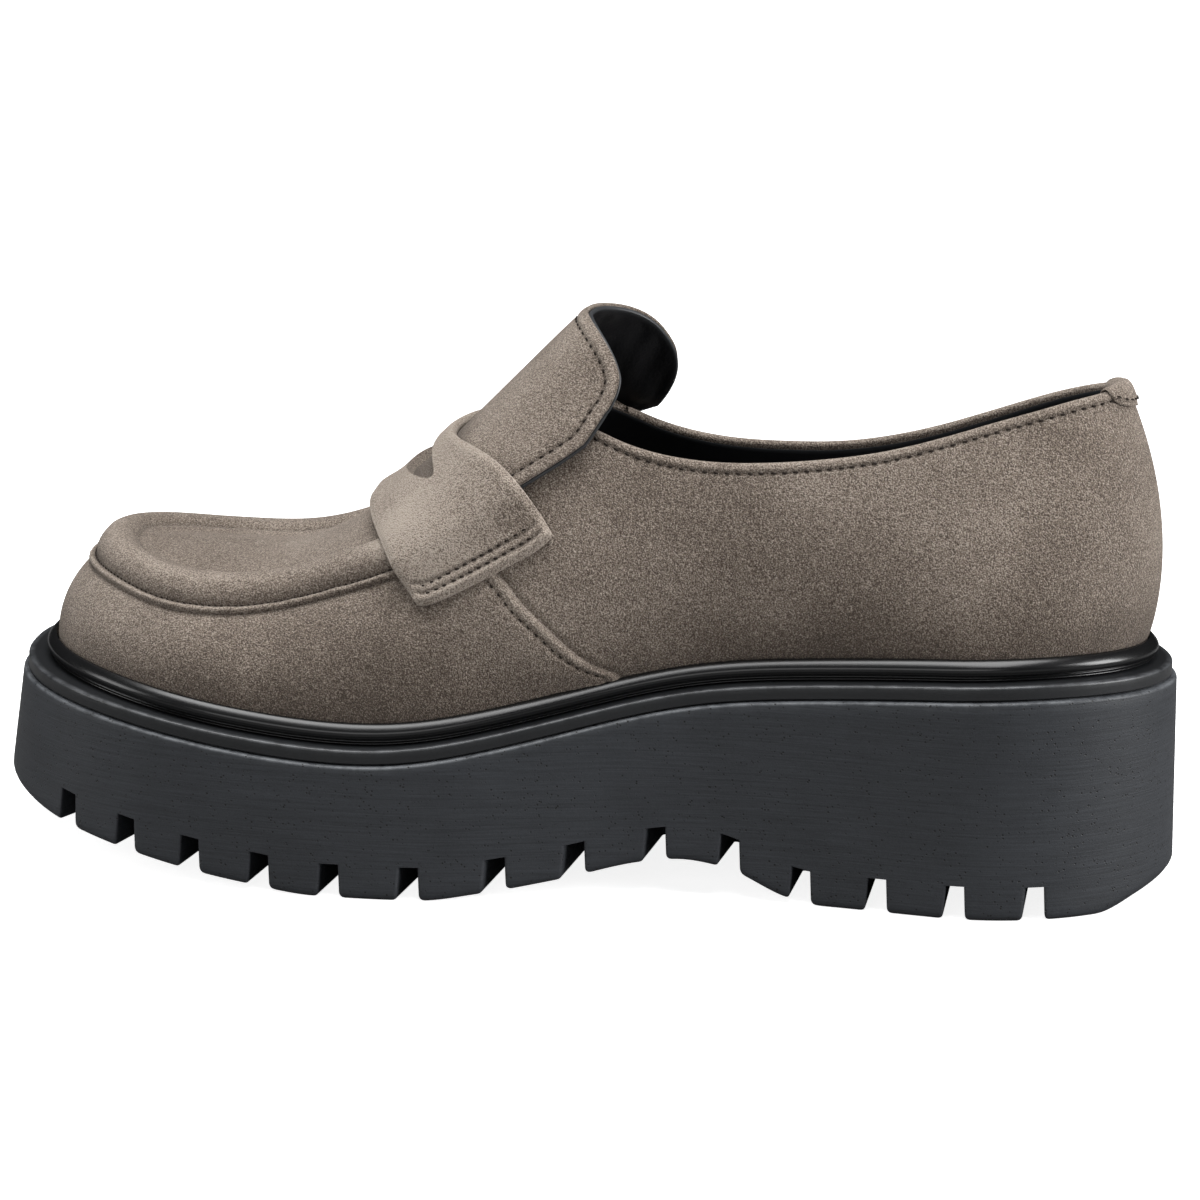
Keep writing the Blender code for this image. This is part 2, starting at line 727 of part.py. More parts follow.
def strap_lift(x, across):
    """Height of the strap's underside above the form: over the tongue, down beside it."""
    middle = 1 - ease(np.abs(across), *STRAP_DROP)
    ahead = 1 - ease(x, *STRAP_DROP_X)
    return SKIN_GAP + middle * (TONGUE_THICK + SKIN_GAP * (1 - ahead))


def make_strap():
    """Saddle strap over the instep with its penny slot."""
    first, last = STRAP[0][0], STRAP[-1][0]
    across = np.linspace(first, last, STRAP_COLS + 1)
    along = np.linspace(0, 1, STRAP_ROWS + 1)
    front, rear = strap_front(across), strap_rear(across)
    x = front[None, :] + (rear - front)[None, :] * along[:, None]
    share = np.broadcast_to(across[None, :], x.shape)
    lift = strap_lift(x, share)
    low = over(x, share, lift)
    high = over(x, share, lift + STRAP_THICK)
    strap = slab("saddle_strap", high, low, material("strap_suede", SUEDE, 0.95))
    cut = strap.modifiers.new("penny_slot", "BOOLEAN")
    cut.operation = "DIFFERENCE"
    cut.solver = "EXACT"
    cut.object = make_slot_cutter()
    return strap


def make_slot_cutter():
    centre = over(SLOT_X, 0.0, 0.0)
    ahead = over(SLOT_X + 0.002, 0.0, 0.0) - centre
    forward = Vector(ahead).normalized()
    side = Vector((0.0, 1.0, 0.0))
    normal = forward.cross(side).normalized()
    if normal.z < 0:
        normal = -normal
    points = []
    for height in SLOT_CUT:
        for i in range(SLOT_STEPS):
            angle = 2 * math.pi * i / SLOT_STEPS
            reach = SLOT_HALF * math.cos(angle)
            wide = SLOT_WIDE / 2 * math.sin(angle) * (1 - SLOT_TAPER * abs(math.cos(angle)))
            place = Vector(centre) + side * reach + forward * wide + normal * height
            points.append(tuple(place))
    faces = [tuple(range(SLOT_STEPS)), tuple(range(2 * SLOT_STEPS - 1, SLOT_STEPS - 1, -1))]
    for i in range(SLOT_STEPS):
        j = (i + 1) % SLOT_STEPS
        faces.append((i, j, SLOT_STEPS + j, SLOT_STEPS + i))
    cutter = add_object("slot_cutter", points, faces, material("slot_guide", SUEDE, 0.9))
    cutter.hide_render = True
    cutter.display_type = "WIRE"
    return cutter


def make_heel_tab():
    """Small suede tab folded over the rim at the back seam."""
    spread = np.linspace(-1, 1, TAB_COLS + 1)
    turn = math.pi + spread * TAB_TURN
    top = rim_share(turn)
    rim_out = rib(turn, top)
    normal = outward(turn, top)
    down = rib(turn, top - 0.05) - rim_out
    down /= np.linalg.norm(down, axis=-1, keepdims=True)
    rim_in = rim_out - normal * UPPER_WALL
    deep = TAB_END_SHARE + (1 - TAB_END_SHARE) * np.sqrt(np.clip(1 - spread ** 2, 0, 1))
    fold = TAB_THICK * TAB_FOLD
    close, far = [], []

    def hang(rim, side, depth, thick):
        fall = down * (depth * deep)[:, None]
        close.append(rim + normal * side * GAP + fall)
        far.append(rim + normal * side * (GAP + thick) + fall)

    for part in (1.0, 0.66, 0.33):
        hang(rim_out, 1, TAB_DEEP_OUT * part, TAB_THICK)
    for rim, side in ((rim_out, 1), (rim_in, -1)):
        close.append(rim + normal * side * GAP - down * GAP)
        far.append(rim + normal * side * (GAP + fold) - down * (GAP + fold))
    for part in (0.4, 0.7, 1.0):
        hang(rim_in, -1, TAB_DEEP_IN * part, TAB_THICK)
    return slab("heel_tab", np.stack(far), np.stack(close), material("tab_suede", SUEDE, 0.95))


def main():
    for item in list(bpy.data.objects):
        bpy.data.objects.remove(item, do_unlink=True)
    make_outsole()
    make_runner()
    make_welt()
    make_insole()
    make_upper()
    make_tongue()
    make_strap()
    make_heel_tab()
    widest = outline(sole_turns(), -flare(sole_turns()))
    middle = (widest.min(axis=0) + widest.max(axis=0)) / 2
    for item in bpy.data.objects:
        item.location = (-middle[0], -middle[1], 0.0)


main()
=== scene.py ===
import math
import random

import bmesh
import bpy
import numpy as np
from mathutils import Matrix, Vector, geometry, kdtree


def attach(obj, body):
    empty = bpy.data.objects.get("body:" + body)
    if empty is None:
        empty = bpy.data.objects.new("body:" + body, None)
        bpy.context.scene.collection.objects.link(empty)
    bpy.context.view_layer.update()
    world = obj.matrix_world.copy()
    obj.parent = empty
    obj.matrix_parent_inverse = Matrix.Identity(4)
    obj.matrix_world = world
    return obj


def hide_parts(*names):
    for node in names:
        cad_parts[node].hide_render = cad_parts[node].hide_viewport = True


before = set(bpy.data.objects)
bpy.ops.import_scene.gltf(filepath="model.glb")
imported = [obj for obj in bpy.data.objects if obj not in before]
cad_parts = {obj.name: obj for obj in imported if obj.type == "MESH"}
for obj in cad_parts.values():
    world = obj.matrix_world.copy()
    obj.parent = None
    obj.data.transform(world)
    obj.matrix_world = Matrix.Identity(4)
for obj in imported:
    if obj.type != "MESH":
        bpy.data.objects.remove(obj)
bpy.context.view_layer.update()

# Suede loafer on a lugged platform sole. Toe at -X, heel at +X, medial side at -Y.
print("loafer: frame loaded")

random.seed(7)
settle = np.array([0.0008, -0.00071434, 0.0])  # the last's own axes to the part's axes

lastForm = {
    "toeX": -0.1374, "heelX": 0.1372,
    "toeCap": 0.0605, "toePower": 2.3, "heelCap": 0.052, "heelPower": 1.9,
    "toeTurn": 0.0037, "toeTurnReach": 0.080,
    "runnerTall": 0.0036, "weltTall": 0.0049,
    "featherInset": 0.0072, "featherInsetToe": 0.0011,
    "spineToe": -0.1045, "spineHeel": 0.086, "spineSoft": 0.008,
    "bulgeTall": 0.062, "throatX": -0.0245,
    # x, medial half width, lateral half width of the sole's top edge
    "plan": [(-0.139, 0.0470, 0.0450), (-0.089, 0.0505, 0.0470), (-0.059, 0.0525, 0.0510),
             (-0.027, 0.0500, 0.0540), (0.014, 0.0372, 0.0495), (0.056, 0.0345, 0.0430),
             (0.097, 0.0385, 0.0395), (0.139, 0.0390, 0.0390)],
    # x, height of the sole's top edge
    "step": [(-0.139, 0.0392), (-0.115, 0.0371), (-0.089, 0.0341), (-0.059, 0.0314), (-0.039, 0.0317),
             (-0.019, 0.0349), (0.003, 0.0399), (0.026, 0.0450), (0.056, 0.0484), (0.091, 0.0511),
             (0.116, 0.0518), (0.139, 0.0508)],
    # x, height of the tread
    "tread": [(-0.140, 0.0138), (-0.121, 0.0095), (-0.105, 0.0066), (-0.089, 0.0039), (-0.073, 0.0017),
              (-0.056, 0.0000), (-0.032, 0.0000), (-0.019, 0.0015), (0.000, 0.0046), (0.018, 0.0084),
              (0.026, 0.0091), (0.036, 0.0077), (0.052, 0.0012), (0.060, 0.0000), (0.122, 0.0000),
              (0.131, 0.0030), (0.140, 0.0065)],
    # x, height of the instep line and the tongue above it
    "spine": [(-0.104, 0.0717), (-0.086, 0.0717), (-0.072, 0.0725), (-0.061, 0.0757), (-0.052, 0.0805),
              (-0.040, 0.0890), (-0.029, 0.1000), (-0.017, 0.1128), (-0.002, 0.1285), (0.012, 0.1408),
              (0.030, 0.1495), (0.055, 0.1520), (0.086, 0.1500)],
    # x, medial fullness, lateral fullness, medial bulge, lateral bulge
    "side": [(-0.131, 2.00, 2.00, 0.0000, 0.0000), (-0.090, 2.10, 2.10, 0.0010, 0.0010),
             (-0.052, 2.20, 2.00, 0.0015, 0.0010), (-0.029, 2.20, 1.90, 0.0020, 0.0010),
             (-0.002, 2.30, 1.70, 0.0035, 0.0010), (0.025, 2.15, 1.40, 0.0040, 0.0015),
             (0.050, 1.80, 1.20, 0.0040, 0.0020), (0.086, 1.30, 1.15, 0.0030, 0.0030),
             (0.110, 1.50, 1.50, 0.0030, 0.0030), (0.1306, 2.40, 2.40, 0.0030, 0.0030)],
    # x, medial rim height, lateral rim height
    "rim": [(-0.030, 0.1085, 0.1085), (-0.012, 0.1088, 0.1060), (0.000, 0.1080, 0.1020),
            (0.009, 0.1047, 0.0980), (0.018, 0.1022, 0.0955), (0.031, 0.1008, 0.0943),
            (0.042, 0.1011, 0.0947), (0.054, 0.1023, 0.0958), (0.066, 0.1042, 0.0982),
            (0.078, 0.1072, 0.1018), (0.093, 0.1120, 0.1075), (0.103, 0.1150, 0.1115),
            (0.113, 0.1176, 0.1152), (0.1236, 0.1190, 0.1190)],
    # x, share of the rib at which the apron seam lies
    "seam": [(-0.131, 0.500), (-0.112, 0.455), (-0.098, 0.415), (-0.080, 0.432), (-0.060, 0.475),
             (-0.041, 0.455), (-0.017, 0.465)],
}


def spline(xs, ys):
    xs, ys = np.asarray(xs, float), np.asarray(ys, float)
    count = len(xs)
    span = np.diff(xs)
    system, right = np.zeros((count, count)), np.zeros(count)
    system[0, 0] = system[-1, -1] = 1.0
    for i in range(1, count - 1):
        system[i, i - 1:i + 2] = span[i - 1], 2 * (span[i - 1] + span[i]), span[i]
        right[i] = 6 * ((ys[i + 1] - ys[i]) / span[i] - (ys[i] - ys[i - 1]) / span[i - 1])
    bend = np.linalg.solve(system, right)

    def at(x):
        x = np.clip(x, xs[0], xs[-1])
        i = np.clip(np.searchsorted(xs, x, side="right") - 1, 0, count - 2)
        left, past, wide = xs[i + 1] - x, x - xs[i], span[i]
        curved = (bend[i] * left ** 3 + bend[i + 1] * past ** 3) / (6 * wide)
        return (curved + (ys[i] / wide - bend[i] * wide / 6) * left
                + (ys[i + 1] / wide - bend[i + 1] * wide / 6) * past)
    return at


def column(table, index):
    return spline([row[0] for row in table], [row[index] for row in table])


def follow(table):  # stays flat wherever two rows agree
    xs = np.array([row[0] for row in table], float)
    ys = np.array([row[1] for row in table], float)
    rise = np.diff(ys) / np.diff(xs)
    slope = np.zeros(len(xs))
    same = rise[1:] * rise[:-1] > 0
    slope[1:-1][same] = 2 * rise[1:][same] * rise[:-1][same] / (rise[1:] + rise[:-1])[same]
    slope[0], slope[-1] = rise[0], rise[-1]

    def at(x):
        x = np.clip(x, xs[0], xs[-1])
        i = np.clip(np.searchsorted(xs, x, side="right") - 1, 0, len(xs) - 2)
        wide = xs[i + 1] - xs[i]
        s = (x - xs[i]) / wide
        return ((2 * s ** 3 - 3 * s ** 2 + 1) * ys[i] + (s ** 3 - 2 * s ** 2 + s) * wide * slope[i]
                + (3 * s ** 2 - 2 * s ** 3) * ys[i + 1] + (s ** 3 - s ** 2) * wide * slope[i + 1])
    return at


def ease(value, low, high):
    s = np.clip((value - low) / (high - low), 0.0, 1.0)
    return s * s * (3 - 2 * s)


def bell(away, wide):
    return np.exp(-(away / wide) ** 2)


def unit(vectors):
    return vectors / np.linalg.norm(vectors, axis=-1, keepdims=True)


def runAlong(path):  # distance from the start of each path to each of its points
    steps = np.linalg.norm(np.diff(path, axis=-2), axis=-1)
    return np.concatenate([np.zeros(steps.shape[:-1] + (1,)), np.cumsum(steps, axis=-1)], -1)


def closerAtEnds(marks, bend):  # marks from -1 to 1, drawn together towards both ends
    return np.sin(marks * math.pi / 2 * bend) / math.sin(math.pi / 2 * bend)


planMedial, planLateral = column(lastForm["plan"], 1), column(lastForm["plan"], 2)
stepHeight = column(lastForm["step"], 1)
treadHeight = follow(lastForm["tread"])
spineHeight = column(lastForm["spine"], 1)
fullMedial, fullLateral = column(lastForm["side"], 1), column(lastForm["side"], 2)
bulgeMedial, bulgeLateral = column(lastForm["side"], 3), column(lastForm["side"], 4)
rimMedial, rimLateral = column(lastForm["rim"], 1), column(lastForm["rim"], 2)
seamShare = column(lastForm["seam"], 1)


def cap(room, reach, power):
    return np.maximum(0, 1 - np.clip(1 - room / reach, 0, 1) ** power) ** (1 / power)


def edge(turn):  # the sole's top edge: turn 0 at the toe, pi at the heel, medial side between
    toe, heel = lastForm["toeX"], lastForm["heelX"]
    x = (toe + heel) / 2 - (heel - toe) / 2 * np.cos(turn)
    side = np.where(np.sin(turn) >= 0, -planMedial(x), planLateral(x))
    ends = cap(x - toe, lastForm["toeCap"], lastForm["toePower"])
    ends = ends * cap(heel - x, lastForm["heelCap"], lastForm["heelPower"])
    turned = lastForm["toeTurn"] * np.clip(1 - (x - toe) / lastForm["toeTurnReach"], 0, 1) ** 2
    return np.stack([x, side * ends + turned], -1)


def inward(turn):
    ahead = edge(turn + 0.004) - edge(turn - 0.004)
    return unit(np.stack([-ahead[..., 1], ahead[..., 0]], -1))


def outline(turn, inset):
    turn = np.asarray(turn, float)
    inset = np.broadcast_to(np.asarray(inset, float), turn.shape)
    return edge(turn) + inward(turn) * inset[..., None]


def featherInset(turn):
    return lastForm["featherInset"] + lastForm["featherInsetToe"] * ease(-edge(turn)[..., 0], 0.080, 0.130)


def ring(turn, inset, lift):
    flat = outline(turn, inset)
    return np.concatenate([flat, (stepHeight(flat[..., 0]) + lift)[..., None]], -1)


def softClamp(x, low, high):
    soft = lastForm["spineSoft"]
    x = (x + low + np.sqrt((x - low) ** 2 + 4 * soft ** 2)) / 2
    return (x + high - np.sqrt((x - high) ** 2 + 4 * soft ** 2)) / 2


def spineSide(x):
    return 0.003 * np.clip(-(x + 0.06) / 0.045, 0, 1) - 0.003 * bell(x + 0.02, 0.06)


def rib(turn, share):  # the upper's form: share 0 at the feather line, 1 on the instep line
    turn, share = np.broadcast_arrays(np.asarray(turn, float), np.asarray(share, float))
    foot = outline(turn, featherInset(turn))
    low = stepHeight(foot[..., 0]) + lastForm["runnerTall"] + lastForm["weltTall"]
    topX = softClamp(foot[..., 0], lastForm["spineToe"], lastForm["spineHeel"])
    top = np.stack([topX, spineSide(topX)], -1)
    medial = np.sin(turn) >= 0
    full = np.where(medial, fullMedial(foot[..., 0]), fullLateral(foot[..., 0]))
    full = full + (2 - full) * share ** 3
    angle = share * math.pi / 2
    run = 1 - np.clip(np.cos(angle), 0, 1) ** (2 / full)
    rise = np.clip(np.sin(angle), 0, 1) ** (2 / full)
    z = low + (spineHeight(topX) - low) * rise
    bulge = np.where(medial, bulgeMedial(foot[..., 0]), bulgeLateral(foot[..., 0]))
    bulge = bulge * np.sin(np.pi * np.clip((z - low) / lastForm["bulgeTall"], 0, 1) ** 0.75)
    flat = foot + (top - foot) * run[..., None] - inward(turn) * bulge[..., None]
    return np.concatenate([flat, z[..., None]], -1)


def outward(turn, share):
    share = np.minimum(share, 0.995)
    low, high = np.maximum(share - 0.004, 0.0), share + 0.004
    along = rib(turn + 0.003, share) - rib(turn - 0.003, share)
    return unit(np.cross(along, rib(turn, high) - rib(turn, low)))


def footX(turn):
    return outline(turn, featherInset(turn))[:, 0]


def ribRun(turns, count):  # shares from the foot to the instep line, and the distance up each rib at them
    shares = np.linspace(0, 1, count)
    return shares, runAlong(rib(turns[:, None], shares[None, :]))


sideTurns = np.linspace(0.05, math.pi - 0.05, 900)
medialX, lateralX = footX(sideTurns), footX(2 * math.pi - sideTurns)


def overTurn(x):
    medial = np.interp(x, medialX, sideTurns)
    lateral = 2 * math.pi - np.interp(x, lateralX, sideTurns)
    return medial, lateral


def over(x, across, lift):  # across -1 medial feather, 0 instep line, +1 lateral feather
    x, across = np.broadcast_arrays(np.asarray(x, float), np.asarray(across, float))
    medial, lateral = overTurn(x)
    turn = np.where(across <= 0, medial, lateral)
    share = 1 - np.abs(across)
    blend = np.clip(1 - np.abs(across) / 0.06, 0, 1)[..., None] / 2
    normal = outward(turn, share) * (1 - blend) + outward(np.where(across <= 0, lateral, medial), share) * blend
    return rib(turn, share) + unit(normal) * np.asarray(lift, float)[..., None]


def overNormal(x, across):
    return (over(x, across, np.full(np.shape(x), 0.001)) - over(x, across, np.zeros(np.shape(x)))) / 0.001


def rimShare(turn):
    shares = np.linspace(0, 1, 401)
    grid = rib(turn[:, None], shares[None, :])
    medial = np.sin(turn) >= 0
    limit = np.where(medial[:, None], rimMedial(grid[..., 0]), rimLateral(grid[..., 0]))
    miss = grid[..., 2] - limit
    above = miss > 0
    first = np.where(above.any(axis=1), above.argmax(axis=1), len(shares) - 1)
    before = np.maximum(first - 1, 0)
    pick = np.arange(len(turn))
    low, high = miss[pick, before], miss[pick, first]
    part = np.where(high > low, -low / np.maximum(high - low, 1e-9), 1.0)
    return shares[before] + np.clip(part, 0, 1) * (shares[first] - shares[before])


# Mesh helpers

def turnFacesOut(mesh):
    bm = bmesh.new()
    bm.from_mesh(mesh)
    bmesh.ops.recalc_face_normals(bm, faces=bm.faces)
    bm.to_mesh(mesh)
    bm.free()


def addMesh(name, points, faces, finish, node, sharp, masks=None):
    mesh = bpy.data.meshes.new(name)
    mesh.from_pydata((np.asarray(points, float) + settle).tolist(), [], faces)
    turnFacesOut(mesh)
    for key, values in (masks or {}).items():
        layer = mesh.attributes.new(key, "FLOAT", "POINT")
        layer.data.foreach_set("value", np.asarray(values, np.float32))
    mesh.shade_smooth()
    mesh.set_sharp_from_angle(angle=math.radians(sharp))
    mesh.materials.append(finish)
    piece = bpy.data.objects.new(name, mesh)
    bpy.context.collection.objects.link(piece)
    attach(piece, "root")
    if node:
        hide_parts(node)
    return piece


def ladder(first, count):  # closes a ring with rungs from side to side
    faces = [(first, first + 1, first + count - 1)]
    half = count // 2
    for i in range(1, half - 1):
        faces.append((first + i, first + i + 1, first + count - i - 1, first + count - i))
    faces.append((first + half - 1, first + half, first + half + 1))
    return faces


def stripFaces(base, after, count):  # between two closed rings
    return [(base + i, base + (i + 1) % count, after + (i + 1) % count, after + i) for i in range(count)]


def gridRim(rows, cols):  # the numbers of a grid's outer points, in order
    rim = [r * cols for r in range(rows)]
    rim += [(rows - 1) * cols + c for c in range(1, cols)]
    rim += [r * cols + cols - 1 for r in range(rows - 2, -1, -1)]
    rim += list(range(cols - 2, 0, -1))
    return np.array(rim)


def slabMesh(top, bottom, sides):  # closed sheet between two grids, with rows of edge points between them
    rows, cols = top.shape[:2]
    points = [top.reshape(-1, 3), bottom.reshape(-1, 3)]
    under = rows * cols
    faces = []
    for r in range(rows - 1):
        for c in range(cols - 1):
            a, b, d, e = r * cols + c, r * cols + c + 1, (r + 1) * cols + c + 1, (r + 1) * cols + c
            faces.append((a, b, d, e))
            faces.append((under + e, under + d, under + b, under + a))
    rim = gridRim(rows, cols)
    levels = [rim]
    start = 2 * under
    for side in sides:
        points.append(side)
        levels.append(np.arange(start, start + len(rim)))
        start += len(rim)
    levels.append(rim + under)
    for upper, lower in zip(levels, levels[1:]):
        for i in range(len(rim)):
            j = (i + 1) % len(rim)
            faces.append((int(upper[i]), int(upper[j]), int(lower[j]), int(lower[i])))
    return np.concatenate(points), faces


def treeOf(points):
    tree = kdtree.KDTree(len(points))
    for i, p in enumerate(points):
        tree.insert(p, i)
    tree.balance()
    return tree


def nearPath(points, path, reach):  # distance to a path, and the reach where it is further away
    path = np.asarray(path, float)
    far = np.full(len(points), reach)
    low, high = path.min(axis=0) - reach, path.max(axis=0) + reach
    close = np.where(((points > low) & (points < high)).all(axis=1))[0]
    if len(close) == 0:
        return far
    tree = treeOf(path)
    for k in close:
        _, i, gap = tree.find(points[k])
        if gap >= reach * 1.5:
            continue
        best = gap
        for a in (max(i - 1, 0), min(i, len(path) - 2)):
            run = path[a + 1] - path[a]
            part = np.clip(np.dot(points[k] - path[a], run) / max(np.dot(run, run), 1e-12), 0, 1)
            best = min(best, float(np.linalg.norm(points[k] - path[a] - run * part)))
        far[k] = min(best, reach)
    return far


def evenPath(path, step):
    run = runAlong(path)
    count = max(int(run[-1] / step), 1)
    marks = np.linspace(0, run[-1], count + 1)
    return np.stack([np.interp(marks, run, path[:, k]) for k in range(path.shape[1])], -1)


# Finishes

def put(tree, kind, place=(0, 0), values=None, **settings):
    node = tree.nodes.new(kind)
    node.location = place
    for key, value in settings.items():
        setattr(node, key, value)
    for key, value in (values or {}).items():
        node.inputs[key].default_value = value
    return node


def noiseAt(tree, vector, scale, detail=2.0, rough=0.5, place=(0, 0), distortion=0.0):
    node = put(tree, "ShaderNodeTexNoise", place,
               {"Scale": scale, "Detail": detail, "Roughness": rough, "Distortion": distortion})
    tree.links.new(vector, node.inputs["Vector"])
    return node.outputs["Fac"]


def sums(tree, operation, a, b, place=(0, 0), clamp=False):
    node = put(tree, "ShaderNodeMath", place, operation=operation, use_clamp=clamp)
    for i, value in enumerate((a, b)):
        if hasattr(value, "is_linked"):
            tree.links.new(value, node.inputs[i])
        else:
            node.inputs[i].default_value = value
    return node.outputs[0]


def blendColour(tree, part, a, b, place=(0, 0), way="MIX"):
    node = put(tree, "ShaderNodeMix", place, data_type="RGBA", blend_type=way, clamp_factor=True)
    for key, value in ((0, part), (6, a), (7, b)):
        if hasattr(value, "is_linked"):
            tree.links.new(value, node.inputs[key])
        else:
            node.inputs[key].default_value = value
    return node.outputs[2]


def swing(tree, value, gain):  # how far a noise strays from its middle
    return sums(tree, "MULTIPLY", sums(tree, "SUBTRACT", value, 0.5), gain)


def ranged(tree, value, low, high, toLow=0.0, toHigh=1.0, place=(0, 0), smooth=False):
    node = put(tree, "ShaderNodeMapRange", place,
               {"From Min": low, "From Max": high, "To Min": toLow, "To Max": toHigh},
               interpolation_type="SMOOTHSTEP" if smooth else "LINEAR")
    tree.links.new(value, node.inputs["Value"])
    return node.outputs["Result"]


def mask(tree, name, place=(0, 0)):
    return put(tree, "ShaderNodeAttribute", place, attribute_name=name).outputs["Fac"]


def newGroup(name, takes, gives):
    tree = bpy.data.node_groups.new(name, "ShaderNodeTree")
    for key, kind, value in takes:
        socket = tree.interface.new_socket(name=key, in_out="INPUT", socket_type=kind)
        if value is not None:
            socket.default_value = value
    for key, kind in gives:
        tree.interface.new_socket(name=key, in_out="OUTPUT", socket_type=kind)
    return tree, put(tree, "NodeGroupInput", (-1200, 0)), put(tree, "NodeGroupOutput", (1000, 0))


def makeNapGroup():
    number, colour = "NodeSocketFloat", "NodeSocketColor"
    tree, take, give = newGroup(
        "suedeNap",
        [("Dark", colour, None), ("Mid", colour, None), ("Light", colour, None),
         ("Grain Size", number, 0.00042), ("Grain", number, 1.0), ("Cloud", number, 1.0),
         ("Seam", number, 0.0), ("Edge", number, 0.0), ("Patch", number, 0.0)],
        [("Color", colour), ("Height", number), ("Roughness", number)])
    spot = put(tree, "ShaderNodeTexCoord", (-1200, 400)).outputs["Object"]
    scale = sums(tree, "DIVIDE", 1.0, take.outputs["Grain Size"], (-1000, 300))
    fine = put(tree, "ShaderNodeTexNoise", (-800, 400), {"Detail": 2.0, "Roughness": 0.6})
    coarse = put(tree, "ShaderNodeTexNoise", (-800, 150), {"Detail": 2.0, "Roughness": 0.55})
    tree.links.new(spot, fine.inputs["Vector"])
    tree.links.new(spot, coarse.inputs["Vector"])
    tree.links.new(scale, fine.inputs["Scale"])
    tree.links.new(sums(tree, "MULTIPLY", scale, 0.45, (-1000, 100)), coarse.inputs["Scale"])
    cloud = noiseAt(tree, spot, 85.0, 5.0, 0.62, (-800, -100))
    drift = noiseAt(tree, spot, 22.0, 3.0, 0.5, (-800, -300), distortion=0.6)
    grain = sums(tree, "ADD", swing(tree, fine.outputs["Fac"], 2.2),
                 swing(tree, coarse.outputs["Fac"], 0.45), (-500, 300))
    grain = sums(tree, "MULTIPLY", grain, take.outputs["Grain"], (-300, 300))
    clouds = sums(tree, "ADD", swing(tree, cloud, 0.65),
                  swing(tree, drift, 0.75), (-500, -100))
    clouds = sums(tree, "MULTIPLY", clouds, take.outputs["Cloud"], (-300, -100))
    value = sums(tree, "ADD", sums(tree, "ADD", grain, clouds), 0.5, (-100, 100))
    # Patch: nap strokes mixed with painted shade and painted light
    value = sums(tree, "ADD", value, sums(tree, "MULTIPLY", take.outputs["Patch"], 0.5), (50, 100))
    # Edge: paler nap at folded edges, with a painted highlight on raised lips and the roll's crest
    value = sums(tree, "ADD", value, sums(tree, "MULTIPLY", take.outputs["Edge"], 0.28), (200, 100))
    low = blendColour(tree, sums(tree, "MULTIPLY", value, 2.0, clamp=True), take.outputs["Dark"],
                      take.outputs["Mid"], (400, 200))
    high = sums(tree, "MULTIPLY", sums(tree, "SUBTRACT", value, 0.5), 2.0, clamp=True)
    tone = blendColour(tree, high, low, take.outputs["Light"], (600, 200))
    # Seam: painted shade, blended towards a deep shade colour
    shade = sums(tree, "MULTIPLY", take.outputs["Seam"], 0.72, (400, -100), clamp=True)
    deep = blendColour(tree, 1.0, take.outputs["Dark"], (0.32, 0.29, 0.27, 1.0), (400, -250), "MULTIPLY")
    tree.links.new(blendColour(tree, shade, tone, deep, (800, 100)), give.inputs["Color"])
    tree.links.new(sums(tree, "ADD", grain, sums(tree, "MULTIPLY", clouds, 0.4)), give.inputs["Height"])
    tree.links.new(ranged(tree, grain, -0.5, 0.5, 0.98, 0.86, (600, -300)), give.inputs["Roughness"])
    return tree


